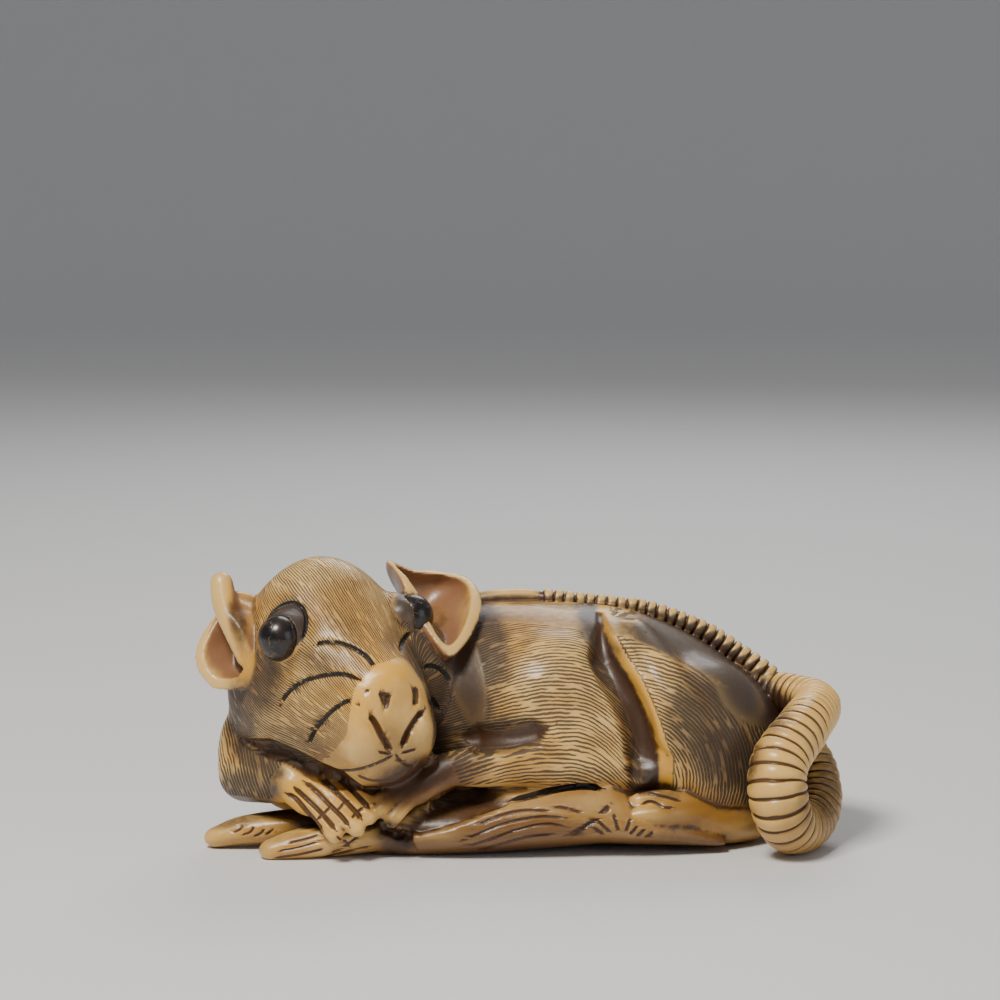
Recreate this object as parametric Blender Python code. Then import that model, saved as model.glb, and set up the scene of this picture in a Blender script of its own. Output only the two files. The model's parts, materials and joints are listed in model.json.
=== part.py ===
"""A carved toggle: a rat lying on a dried fish, cut from one block, with two inlaid eyes.

The rat lies along X with its head at -X, turned towards the front, -Y. The fish lies under its
front side, tail lobes at -X and jaw at +X. Lengths are millimetres, scaled by MM when a mesh is made.
"""

import math

import bmesh
import bpy
import numpy as np
from mathutils import Matrix, Vector

MM = 0.001

# Overall form
SPINE_HEIGHT = 21.7
BODY_SHIFT = 2.5
BELLY_LEVEL = -0.5

# The head's frame: x towards the rat's left, y forwards, z up
HEAD_POSITION = (-17.7, -6.3, 0.0)
HEAD_TURN = math.radians(33)
HEAD_ROLL = math.radians(3)
ROLL_PIVOT = (0.0, 0.0, 16.0)

# Eyes, in the head's frame
EYE_SIDE = 7.1
EYE_AHEAD = 2.7
EYE_HEIGHT = 20.8
EYE_TURN = math.radians(52)
EYE_RADII = (1.9, 1.9, 2.05)
EYE_GAP = 0.3

# Tail and back ridge
TAIL_RING_PITCH = 1.6
TAIL_RING_DEPTH = 0.3
TAIL_RING = ((0.06, 1.0), (0.3, 0.0), (0.8, 0.0))
BEAD_PITCH = 1.15
BEAD_DEPTH = 0.4
BEAD = ((0.0, 1.0), (0.5, 0.0))
RIDGE_PLAIN = 0.3

# Cord channel in the underside
CORD_RADIUS = 1.7
CORD_SPAN = 9.5
CORD_DEPTH = 5.5
CORD_POSITION = (-1.0, 5.0)

# Mesh fineness
FORM_VOXEL = 0.5
FORM_SMOOTHING = 6
DETAIL_VOXEL = 0.3
DETAIL_SMOOTHING = 3
BODY_TRIANGLES = 5300
TAIL_SIDES = 12
RIDGE_SIDES = 8
BIG = 50.0

# The front of the carving is seen from here, slightly from above
FRONT = Vector((0.0, 0.98, -0.2)).normalized()


def across_frame():
    """The trunk's frame: x to the back, y along the body, z up."""
    return Matrix(((0, 1, 0, 0), (1, 0, 0, 0), (0, 0, 1, 0), (0, 0, 0, 1)))


def head_frame():
    c, s = math.cos(HEAD_TURN), math.sin(HEAD_TURN)
    x, y, z = HEAD_POSITION
    turned = Matrix(((c, s, 0, x), (s, -c, 0, y), (0, 0, 1, z), (0, 0, 0, 1)))
    pivot = Matrix.Translation(ROLL_PIVOT)
    return turned @ pivot @ Matrix.Rotation(-HEAD_ROLL, 4, "Y") @ pivot.inverted()


def clear_scene():
    for item in list(bpy.data.objects):
        bpy.data.objects.remove(item, do_unlink=True)


def put(name, mesh):
    """A new object that holds this mesh."""
    item = bpy.data.objects.new(name, mesh)
    bpy.context.scene.collection.objects.link(item)
    return item


def put_bmesh(name, bm):
    bm.normal_update()
    bmesh.ops.recalc_face_normals(bm, faces=bm.faces)
    mesh = bpy.data.meshes.new(name)
    bm.to_mesh(mesh)
    bm.free()
    return put(name, mesh)


def apply_modifiers(item):
    """Replaces the object's mesh by what its modifiers make of it."""
    graph = bpy.context.evaluated_depsgraph_get()
    graph.update()
    made = bpy.data.meshes.new_from_object(item.evaluated_get(graph))
    item.modifiers.clear()
    old = item.data
    item.data = made
    bpy.data.meshes.remove(old)


def along(rows, share):
    """A row on the smooth curve through these rows of numbers, share running from 0 to 1."""
    rows = np.asarray(rows, float)
    place = min(max(share, 0.0), 1.0) * (len(rows) - 1)
    i = min(int(place), len(rows) - 2)
    t = place - i
    a, b = rows[i], rows[i + 1]
    before = rows[i - 1] if i else 2 * a - b
    after = rows[i + 2] if i + 2 < len(rows) else 2 * b - a
    bend = 2 * before - 5 * a + 4 * b - after
    return 0.5 * (2 * a + (b - before) * t + bend * t**2 + (3 * a - before - 3 * b + after) * t**3)


def skin(name, rings):
    """A closed skin over rings of points, each end capped by a fan to its middle."""
    bm = bmesh.new()
    rows = [[bm.verts.new(Vector(p) * MM) for p in ring] for ring in rings]
    sides = len(rows[0])
    for first, second in zip(rows, rows[1:]):
        for i in range(sides):
            j = (i + 1) % sides
            bm.faces.new((first[i], first[j], second[j], second[i]))
    for row in (rows[0], rows[-1]):
        middle = bm.verts.new(sum((v.co for v in row), Vector()) / sides)
        for i in range(sides):
            bm.faces.new((row[i], row[(i + 1) % sides], middle))
    return put_bmesh(name, bm)


def shell(name, stations, frame, steps=5, sides=36, crown=2.0, keel=2.3):
    """A body lofted over upright sections, each a superellipse, in the given frame.

    A station is (forward, sideways, half width, lowest, highest, level of the greatest width).
    """
    rings = []
    count = (len(stations) - 1) * steps
    for k in range(count + 1):
        far, shift, width, low, high, waist = along(stations, k / count)
        ring = []
        for i in range(sides):
            angle = 2 * math.pi * i / sides
            c, s = math.cos(angle), math.sin(angle)
            power = 2 / (crown if s > 0 else keel)
            reach = (high - waist) if s > 0 else (waist - low)
            across = shift + width * math.copysign(abs(c) ** power, c)
            ring.append(frame @ Vector((across, far, waist + reach * math.copysign(abs(s) ** power, s))))
        rings.append(ring)
    return skin(name, rings)


def limb(name, points, steps=5, sides=16, flat=1.0):
    """A round-ended tube through rows of (x, y, z, radius). flat scales its thickness upwards."""
    count = (len(points) - 1) * steps
    rows = [along(points, k / count) for k in range(count + 1)]
    first, last = Vector(rows[0][:3]), Vector(rows[-1][:3])
    start = (Vector(rows[1][:3]) - first).normalized()
    end = (last - Vector(rows[-2][:3])).normalized()
    swings = [math.radians(angle) for angle in (75, 50, 25)]
    stations = [(first - start * rows[0][3] * math.sin(a), rows[0][3] * math.cos(a)) for a in swings]
    stations += [(Vector(row[:3]), row[3]) for row in rows]
    stations += [(last + end * rows[-1][3] * math.sin(a), rows[-1][3] * math.cos(a)) for a in swings[::-1]]
    rings = []
    up = Vector((0, 0, 1))
    for k, (centre, radius) in enumerate(stations):
        before = stations[max(k - 1, 0)][0]
        after = stations[min(k + 1, len(stations) - 1)][0]
        ahead = (after - before).normalized()
        up = (up - ahead * up.dot(ahead)).normalized()
        side = ahead.cross(up)
        ring = []
        for i in range(sides):
            angle = 2 * math.pi * i / sides
            offset = (side * math.cos(angle) + up * math.sin(angle)) * radius
            offset.z *= flat
            ring.append(centre + offset)
        rings.append(ring)
    return skin(name, rings)


def ball(name, frame, radii, subdivisions=4):
    """An ellipsoid in the given frame."""
    bm = bmesh.new()
    bmesh.ops.create_icosphere(bm, subdivisions=subdivisions, radius=1.0)
    for v in bm.verts:
        v.co = (frame @ Vector(a * b for a, b in zip(v.co, radii))) * MM
    return put_bmesh(name, bm)


def box(name, low, high):
    bm = bmesh.new()
    bmesh.ops.create_cube(bm, size=1.0)
    for v in bm.verts:
        v.co = Vector((h if a > 0 else l for a, l, h in zip(v.co, low, high))) * MM
    return put_bmesh(name, bm)


def fuse(name, items, voxel, smoothing):
    """Joins overlapping closed shapes into one skin and rounds the joins."""
    bm = bmesh.new()
    for item in items:
        bm.from_mesh(item.data)
        bpy.data.objects.remove(item, do_unlink=True)
    made = put_bmesh(name, bm)
    remesh = made.modifiers.new("fuse", "REMESH")
    remesh.mode = "VOXEL"
    remesh.voxel_size = voxel * MM
    soften = made.modifiers.new("soften", "SMOOTH")
    soften.factor = 0.5
    soften.iterations = smoothing
    apply_modifiers(made)
    return made


def cut(item, cutter, operation="DIFFERENCE"):
    """A Boolean of two solids, applied. The second solid is used up."""
    boolean = item.modifiers.new("cut", "BOOLEAN")
    boolean.operation = operation
    boolean.solver = "EXACT"
    boolean.object = cutter
    apply_modifiers(item)
    bpy.data.objects.remove(cutter, do_unlink=True)


def press(item, path, width, depth, view=FRONT, reach=5.0):
    """Presses a groove into the side of an object that faces the viewer, under a path of points.

    Its width is measured across the view, and it fades towards both ends of the path.
    """
    mesh = item.data
    count = len(mesh.vertices)
    co = np.empty(count * 3, np.float32)
    normal = np.empty(count * 3, np.float32)
    mesh.vertices.foreach_get("co", co)
    mesh.vertex_normals.foreach_get("vector", normal)
    co = co.reshape(-1, 3).astype(float) / MM
    normal = normal.reshape(-1, 3).astype(float)
    axis = np.array(view)
    samples = 40
    dots = np.array([along(path, k / (samples - 1)) for k in range(samples)])
    best = np.full(count, 1e9)
    share = np.zeros(count)
    for k in range(samples - 1):
        step = dots[k + 1] - dots[k]
        flat_step = step - axis * (step @ axis)
        away = co - dots[k]
        t = np.clip(away @ flat_step / max(flat_step @ flat_step, 1e-9), 0, 1)
        away = away - t[:, None] * step
        depth_off = away @ axis
        far = np.linalg.norm(away - depth_off[:, None] * axis, axis=1)
        far = np.where(np.abs(depth_off) < reach, far, 1e9)
        closer = far < best
        best[closer] = far[closer]
        share[closer] = (k + t[closer]) / (samples - 1)
    facing = np.clip(-(normal @ axis) * 4, 0, 1)
    profile = np.clip(1 - (best / width) ** 2, 0, 1) ** 1.5
    fade = np.clip(np.minimum(share, 1 - share) / 0.2, 0.1, 1)
    co -= normal * (depth * profile * fade * facing)[:, None]
    mesh.vertices.foreach_set("co", (co * MM).astype(np.float32).ravel())
    mesh.update()


def material(name, colour, roughness):
    made = bpy.data.materials.new(name)
    made.use_nodes = True
    shader = made.node_tree.nodes["Principled BSDF"]
    shader.inputs["Base Color"].default_value = (*colour, 1)
    shader.inputs["Roughness"].default_value = roughness
    shader.inputs["Metallic"].default_value = 0
    return made


def trunk():
    """Chest to rump, with the two haunches and the near flank."""
    body = shell(
        "trunk",
        [
            (-25.8, -0.5, 2.5, 4.5, 12.0, 8.5),
            (-23.6, 0.6, 6.0, 2.0, 15.5, 9.0),
            (-17.0, 2.9, 8.8, 0.0, 19.5, 10.0),
            (-9.0, 3.6, 9.8, BELLY_LEVEL, 21.4, 11.0),
            (-2.0, BODY_SHIFT + 0.2, 12.0, BELLY_LEVEL, SPINE_HEIGHT, 11.5),
            (8.0, BODY_SHIFT, 12.3, BELLY_LEVEL, SPINE_HEIGHT - 0.6, 11.0),
            (14.5, BODY_SHIFT, 11.6, BELLY_LEVEL, 18.9, 9.0),
            (19.5, BODY_SHIFT, 10.2, 0.0, 15.8, 7.5),
            (23.2, BODY_SHIFT, 7.6, 1.4, 12.6, 6.5),
            (25.2, BODY_SHIFT, 3.0, 4.0, 8.6, 6.3),
        ],
        across_frame(),
    )
    lean = Matrix.Rotation(-0.35, 4, "Y")
    near = ball("near_haunch", Matrix.Translation((16.6, -2.6, 8.8)) @ lean, (7.0, 8.2, 8.6))
    far = ball("far_haunch", Matrix.Translation((13.5, 8.6, 8.6)) @ lean, (9.0, 6.4, 9.4))
    thigh = limb(
        "near_thigh",
        [(9.9, -2.4, 18.6, 2.2), (11.9, -5.8, 15.6, 2.8), (14.3, -7.6, 12.0, 3.1), (16.4, -7.9, 8.0, 3.0)],
    )
    flank = ball("flank", Matrix.Translation((2.4, -3.4, 12.8)), (8.0, 7.0, 7.2))
    return [body, near, far, thigh, flank]


def head():
    frame = head_frame()
    skull = shell(
        "skull",
        [
            (-12.0, 0.0, 3.0, 10.0, 18.0, 14.0),
            (-9.5, 0.0, 6.2, 7.5, 21.8, 14.0),
            (-6.0, 0.0, 8.0, 6.6, 25.2, 14.0),
            (-2.8, 0.0, 8.6, 6.4, 26.8, 14.0),
            (0.2, 0.0, 8.5, 6.4, 26.2, 14.0),
            (3.0, 0.0, 7.6, 6.4, 24.0, 14.0),
            (5.6, 0.0, 6.4, 6.6, 21.8, 13.5),
            (8.0, 0.0, 5.3, 6.9, 19.9, 13.2),
            (9.8, 0.0, 4.5, 7.4, 18.7, 13.0),
            (10.9, 0.0, 3.6, 8.6, 17.6, 13.0),
            (11.4, 0.0, 1.8, 10.6, 15.8, 13.1),
        ],
        frame,
        crown=2.0,
        keel=2.2,
    )
    parts = [skull]
    for side, ahead, level, radii in (
        (6.9, 1.2, 14.8, (4.4, 5.2, 6.2)),
        (-4.4, -0.8, 13.2, (3.7, 5.4, 5.4)),
        (6.0, 1.6, 20.5, (2.2, 2.3, 2.7)),
        (-5.9, 1.8, 20.4, (2.4, 2.8, 2.8)),
        (2.1, 9.2, 11.8, (2.7, 2.6, 3.1)),
        (-2.1, 9.2, 11.8, (2.7, 2.6, 3.1)),
        (0.0, 9.4, 16.6, (2.5, 2.0, 2.2)),
        (0.0, 8.6, 8.6, (2.8, 1.9, 1.6)),
    ):
        parts.append(ball("head_mass", frame @ Matrix.Translation((side, ahead, level)), radii))
    return parts


def arms():
    """The near arm lies along the fish. The far arm folds round the front."""
    near_upper = ball(
        "near_upper_arm",
        Matrix.Translation((3.6, -4.8, 10.6)) @ Matrix.Rotation(0.2, 4, "Y"),
        (8.6, 6.4, 6.4),
    )
    near_fore = limb(
        "near_forearm",
        [(9.3, -7.4, 8.0, 3.3), (4.0, -8.8, 8.3, 2.9), (-2.0, -9.8, 8.3, 2.3), (-7.5, -11.0, 7.8, 1.9)],
    )
    far_upper = limb(
        "far_upper_arm",
        [(-22.0, 0.0, 12.0, 4.5), (-25.2, -2.4, 9.2, 3.7), (-26.0, -4.6, 6.4, 3.0)],
    )
    far_fore = limb(
        "far_forearm",
        [(-26.0, -4.8, 6.5, 2.9), (-24.0, -8.0, 6.6, 2.5), (-21.3, -10.8, 6.7, 2.0)],
    )
    return [near_upper, near_fore, far_upper, far_fore]


def paw(name, wrist, tips, palm_radius, finger_radius):
    """A palm at the wrist and one finger to each tip."""
    fingers = []
    for k, tip in enumerate(tips):
        a, b = Vector(wrist), Vector(tip)
        knuckle = a.lerp(b, 0.62) + Vector((0, 0, 0.45))
        rows = [
            (*a, palm_radius),
            (*a.lerp(b, 0.33), palm_radius * 0.6 + finger_radius * 0.3),
            (*knuckle, finger_radius),
            (*b, finger_radius * 0.85),
        ]
        fingers.append(limb(f"{name}_{k}", rows, steps=3, sides=12))
    return fingers


def paws_and_feet():
    folded = paw(
        "far_paw",
        (-21.3, -11.0, 6.6),
        [(-13.9, -12.6, 5.3), (-14.3, -13.5, 4.2), (-15.4, -14.2, 3.2), (-17.4, -14.4, 2.7)],
        1.8,
        0.95,
    )
    holding = paw(
        "near_paw",
        (-7.8, -11.2, 7.4),
        [(-13.3, -12.9, 5.7), (-13.3, -13.4, 4.7), (-12.3, -13.7, 3.8)],
        1.7,
        0.8,
    )
    near_foot = limb(
        "near_foot",
        [(20.6, -5.4, 2.3, 2.3), (18.0, -7.8, 2.5, 2.1), (14.8, -9.6, 3.2, 1.6)],
        steps=4,
    )
    near_toes = [
        limb(
            f"near_toe_{k}",
            [(16.4, -9.2, 3.4, 1.3), (12.9, y + 0.2, z + 0.1, 0.95), (10.2, y, z, 0.8)],
            steps=3,
            sides=12,
        )
        for k, (y, z) in enumerate([(-10.8, 5.0), (-11.8, 3.9)])
    ]
    far_foot = limb(
        "far_foot",
        [(19.0, 9.5, 2.0, 2.3), (13.0, 12.4, 1.9, 1.8), (8.5, 13.0, 1.7, 1.5)],
        steps=4,
    )
    far_toes = [
        limb(
            f"far_toe_{k}",
            [(9.5, 12.6, 1.7, 1.1), (6.5, 12.6 + spread, 1.4, 0.85), (3.8, 12.4 + 1.4 * spread, 1.0, 0.75)],
            steps=3,
            sides=12,
        )
        for k, spread in enumerate((-1.2, 0.0, 1.1))
    ]
    return [*folded, *holding, near_foot, *near_toes, far_foot, *far_toes]


RIGHT_EAR = [
    (-27.6, -6.6, 22.8),
    (-27.9, -8.2, 21.6),
    (-26.8, -9.4, 20.0),
    (-25.8, -10.0, 18.0),
    (-26.6, -9.8, 16.4),
    (-28.8, -9.0, 16.3),
    (-29.8, -8.0, 18.2),
    (-29.0, -7.0, 20.2),
    (-27.9, -5.8, 22.2),
]
RIGHT_EAR_ROOT = (-23.4, -5.2, 19.8)
RIGHT_EAR_FOLD = [
    (-28.1, -6.4, 24.5, 1.1),
    (-27.7, -7.2, 22.6, 1.2),
    (-26.9, -8.6, 20.4, 0.9),
    (-25.8, -9.4, 17.9, 0.7),
]
RIGHT_EAR_LINK = [
    (-27.2, -6.8, 22.0, 1.2),
    (-25.6, -6.0, 21.2, 1.3),
    (-23.6, -5.4, 20.6, 1.4),
]

LEFT_EAR = [
    (-12.2, -1.0, 25.5),
    (-10.9, -2.8, 24.4),
    (-9.8, -4.2, 22.9),
    (-8.8, -6.2, 20.8),
    (-7.2, -7.4, 18.9),
    (-5.8, -5.8, 20.2),
    (-5.1, -2.6, 22.3),
    (-5.7, 0.2, 23.7),
    (-7.8, 1.4, 24.2),
    (-10.4, 0.8, 24.5),
]
LEFT_EAR_ROOT = (-9.8, 0.6, 20.6)


def ear_skins(rim, root, thickness, rows=7, sides=40):
    """The rings of a cupped ear's inner skin, from rim to root, and of its outer skin."""
    loop = rim + rim[:2]
    spans = len(loop) - 1
    edge = [Vector(along(loop, (0.5 + k * (spans - 1) / sides) / spans)) for k in range(sides)]
    middle = sum(edge, Vector()) / sides
    well = Vector(root) - middle
    deep = well.normalized()
    inner, outer = [], []
    for r in range(rows + 1):
        t = r / rows
        narrow = 1 - 0.9 * t**2.2
        ring = [middle + (p - middle) * narrow + well * t for p in edge]
        inner.append(ring)
        outer_ring = []
        for p, point in zip(edge, ring):
            outward = (p - middle).normalized() * (1 - 0.8 * t) + deep * (0.3 + 0.7 * t)
            outer_ring.append(point + outward.normalized() * thickness)
        outer.append(outer_ring)
    return inner, outer


def ear(name, rim, root, thickness=1.15):
    inner, outer = ear_skins(rim, root, thickness)
    return skin(name, inner[::-1] + outer)


def ear_hollow(name, rim, root):
    """The space inside an ear, reaching a little out of its mouth."""
    inner, _ = ear_skins(rim, root, 1.0)
    middle = sum(inner[0], Vector()) / len(inner[0])
    out = (middle - Vector(root)).normalized() * 2.5
    return skin(name, [[p + out for p in inner[0]], *inner])


def ears():
    """Both ears. The right one's upper part is folded over."""
    right = ear("right_ear", RIGHT_EAR, RIGHT_EAR_ROOT)
    left = ear("left_ear", LEFT_EAR, LEFT_EAR_ROOT)
    fold = limb("right_ear_fold", RIGHT_EAR_FOLD, sides=12)
    link = limb("right_ear_link", RIGHT_EAR_LINK)
    return [right, left, fold, link]


def fish():
    """The dried fish: a spindle with an open belly, two tail lobes and a pointed jaw."""
    body = shell(
        "fish_body",
        [
            (-17.5, -9.6, 1.8, 0.2, 3.4, 2.0),
            (-14.0, -9.8, 2.6, -0.2, 4.2, 2.0),
            (-10.0, -9.6, 3.6, -0.3, 5.0, 2.3),
            (-5.0, -9.0, 4.6, -0.3, 5.6, 2.6),
            (1.0, -8.4, 5.0, 0.0, 6.4, 3.0),
            (6.5, -8.2, 4.8, 0.5, 6.8, 3.2),
            (10.0, -8.8, 4.0, 0.6, 5.2, 2.8),
            (14.0, -9.2, 2.6, 0.6, 3.4, 1.9),
            (17.0, -9.6, 1.3, 0.6, 2.0, 1.2),
            (18.3, -9.9, 0.5, 0.7, 1.2, 0.9),
        ],
        across_frame(),
        keel=1.6,
    )
    rear_lobe = limb(
        "fish_rear_lobe",
        [
            (-16.0, -8.4, 2.2, 2.2),
            (-21.0, -7.6, 2.1, 2.0),
            (-26.0, -7.6, 1.6, 1.8),
            (-28.6, -7.8, 1.0, 1.3),
        ],
        flat=0.75,
    )
    front_lobe = limb(
        "fish_front_lobe",
        [
            (-12.0, -10.4, 2.2, 2.3),
            (-17.0, -11.0, 1.7, 2.2),
            (-21.0, -11.6, 1.2, 1.8),
            (-23.2, -12.0, 0.8, 1.3),
        ],
        flat=0.75,
    )
    return [body, rear_lobe, front_lobe]


# Grooves in the side seen from the front, each as its width, its depth and its path
GROOVES = {
    "front_of_thigh": (
        1.7,
        1.8,
        [(7.8, -6, 21.8), (8.5, -9, 18.8), (9.8, -10, 16.0), (10.9, -10, 13.0), (12.3, -10, 8.6)],
    ),
    "behind_elbow": (1.3, 1.6, [(12.0, -10, 10.0), (11.8, -10, 8.0), (10.6, -10, 6.4)]),
    "above_forearm": (1.6, 0.8, [(-6.5, -10, 10.8), (-2.0, -10, 10.7), (2.6, -10, 12.0)]),
    "arm_to_fish": (
        0.9,
        1.4,
        [(-8.0, -11, 6.5), (-2.0, -11, 5.7), (2.0, -11, 6.0), (6.0, -11, 6.7), (9.5, -11, 7.0)],
    ),
    "fish_belly": (
        1.1,
        1.3,
        [(-10.5, -13, 3.0), (-8.0, -12, 4.4), (-5.0, -12, 4.9), (-1.5, -12, 5.5), (2.0, -11, 6.0)],
    ),
    "fish_tail_root": (0.7, 0.8, [(-13.6, -13, 3.6), (-12.0, -13, 2.4), (-10.0, -13, 0.9)]),
    "fish_gill": (0.6, 0.6, [(7.8, -11, 5.1), (6.4, -12, 3.8), (4.0, -12, 2.2)]),
    "finger_1": (0.5, 0.7, [(-22.1, -12, 5.6), (-20.0, -13, 4.4), (-18.2, -14, 2.8)]),
    "finger_2": (0.5, 0.7, [(-20.4, -12, 6.8), (-18.0, -13, 5.2), (-15.9, -14, 3.4)]),
    "finger_3": (0.5, 0.7, [(-18.8, -12, 7.4), (-16.8, -13, 6.0), (-14.7, -13, 4.4)]),
    "cheek_to_forearm": (
        1.0,
        1.2,
        [(-26.6, -6, 9.9), (-22.1, -11, 9.4), (-18.4, -13, 8.0), (-14.5, -14, 6.8)],
    ),
    "right_whisker_1": (
        0.45,
        0.5,
        [(-18.7, -13, 19.8), (-17.0, -13, 20.2), (-15.3, -14, 19.8), (-13.5, -15, 18.3)],
    ),
    "right_whisker_2": (
        0.45,
        0.5,
        [(-21.9, -12, 15.1), (-19.0, -13, 17.0), (-16.5, -14, 17.6), (-14.4, -15, 17.2)],
    ),
    "right_whisker_3": (
        0.45,
        0.5,
        [(-19.3, -13, 11.4), (-18.5, -14, 13.2), (-17.3, -14, 14.4), (-15.1, -15, 15.6)],
    ),
    "left_whisker_1": (0.45, 0.5, [(-11.3, -12, 19.8), (-11.0, -12, 20.9), (-10.4, -11, 21.2)]),
    "left_whisker_2": (
        0.45,
        0.5,
        [(-9.5, -11, 17.0), (-9.2, -10, 17.9), (-8.4, -10, 18.0), (-7.1, -9, 16.9)],
    ),
    "left_whisker_3": (0.4, 0.4, [(-8.8, -12, 15.2), (-8.0, -11, 14.0)]),
    "right_nostril": (0.55, 0.6, [(-13.1, -16, 16.3), (-12.8, -16, 15.7), (-12.5, -16, 14.9)]),
    "left_nostril": (0.45, 0.6, [(-10.1, -15, 16.3), (-10.2, -15, 15.7), (-10.2, -15, 14.9)]),
    "right_lip_cut": (0.5, 0.8, [(-14.1, -16, 14.3), (-13.1, -16, 13.0), (-12.1, -16, 10.8)]),
    "left_lip_cut": (0.5, 0.8, [(-9.3, -14, 14.3), (-10.6, -15, 12.6), (-11.3, -16, 10.8)]),
    "mouth_right": (0.45, 0.6, [(-17.4, -13, 8.7), (-14.4, -15, 9.3), (-12.0, -16, 10.3)]),
    "mouth_left": (0.45, 0.6, [(-11.8, -16, 10.4), (-10.8, -15, 9.6), (-9.6, -14, 9.0)]),
}


def carve(rat):
    """Presses every groove into the figure."""
    for width, depth, path in GROOVES.values():
        press(rat, path, width, depth)


TAIL_ROUTE = [
    (19.5, 4.2, 14.2, 1.6),
    (22.6, 3.6, 12.8, 1.8),
    (25.4, 1.6, 12.5, 2.0),
    (27.3, -2.2, 12.3, 2.15),
    (25.6, -8.4, 11.6, 2.35),
    (23.0, -12.2, 8.9, 2.6),
    (22.8, -13.4, 5.8, 2.65),
    (24.0, -11.8, 3.0, 2.5),
    (26.1, -8.0, 2.4, 2.3),
    (27.4, -4.6, 4.2, 2.1),
    (27.1, -1.6, 7.0, 1.8),
    (25.2, 1.0, 9.0, 1.5),
    (22.2, 3.0, 9.2, 1.2),
]

RIDGE_ROUTE = [
    (-8.5, 2.0, 20.6, 0.8),
    (-3.5, 2.2, 21.3, 1.15),
    (1.4, 2.8, 21.3, 1.3),
    (7.1, 3.4, 20.6, 1.35),
    (11.9, 4.0, 19.8, 1.4),
    (16.8, 4.3, 17.9, 1.45),
    (20.4, 4.2, 15.5, 1.5),
    (23.4, 3.4, 13.4, 1.6),
]


def notched_tube(name, route, pitch, depth, sides, stops, plain=0.0):
    """A tube with a ring cut into it at every pitch, after a plain share of its length.

    stops are the places within one pitch where its radius is set: (share of the pitch, share of the depth).
    """
    fine = [along(route, k / 400) for k in range(401)]
    spots = [Vector(row[:3]) for row in fine]
    reach = [0.0]
    for a, b in zip(spots, spots[1:]):
        reach.append(reach[-1] + (b - a).length)
    length = reach[-1]
    start = plain * length
    count = round((length - start) / pitch)
    width = (length - start) / count
    places = [(0.0, 0.0), (start / 2, 0.0)] if plain else []
    for k in range(count):
        places += [(start + (k + share) * width, dip) for share, dip in stops]
    places.append((length, 0.0))
    rings = []
    up = Vector((0, 0, 1))
    for place, dip in places:
        i = min(max(int(np.searchsorted(reach, place)), 1), len(spots) - 2)
        ahead = (spots[i + 1] - spots[i - 1]).normalized()
        up = (up - ahead * up.dot(ahead)).normalized()
        side = ahead.cross(up)
        radius = fine[i][3] - depth * dip
        angles = [2 * math.pi * n / sides for n in range(sides)]
        rings.append([spots[i] + (side * math.cos(a) + up * math.sin(a)) * radius for a in angles])
    return skin(name, rings)


def eye_frame(side):
    """The frame of an eye, its x pointing out of the head. side is 1 for the left eye, -1 for the right."""
    place = Matrix.Translation((side * EYE_SIDE, EYE_AHEAD, EYE_HEIGHT))
    return head_frame() @ place @ Matrix.Rotation(math.radians(90) - side * EYE_TURN, 4, "Z")


def settle(items):
    """Moves everything so that the origin is in the middle of the underside of the whole."""
    corners = [Vector(v.co) for item in items for v in item.data.vertices]
    low = Vector(min(c[i] for c in corners) for i in range(3))
    high = Vector(max(c[i] for c in corners) for i in range(3))
    shift = Vector(((low.x + high.x) / 2, (low.y + high.y) / 2, low.z))
    for item in items:
        item.data.transform(Matrix.Translation(-shift))
        item.data.update()
    print("size in mm", [round(v / MM, 2) for v in high - low])
    print("origin at", [round(v / MM, 2) for v in shift])
    return shift


def inlay_eyes(rat, colour):
    """Cuts a socket for each eye, wider than the eye by the gap, and makes the eye that lies in it."""
    eyes = []
    for name, side in (("eye_left", 1), ("eye_right", -1)):
        frame = eye_frame(side)
        cut(rat, ball("socket", frame, [radius + EYE_GAP for radius in EYE_RADII], 3))
        eye = ball(name, frame, EYE_RADII, 3)
        eye.data.materials.append(colour)
        eyes.append(eye)
    return eyes


def cord_channel():
    """A round tunnel that enters the underside, turns along the body and comes out again."""
    x, y = CORD_POSITION
    half = CORD_SPAN / 2
    turn = CORD_RADIUS * 1.2
    below = -CORD_RADIUS
    corners = [
        (x - half, below),
        (x - half, CORD_DEPTH - turn),
        (x - half + turn, CORD_DEPTH),
        (x + half - turn, CORD_DEPTH),
        (x + half, CORD_DEPTH - turn),
        (x + half, below),
    ]
    return limb("cord_channel", [(a, y, z, CORD_RADIUS) for a, z in corners], steps=3, sides=14)


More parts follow.
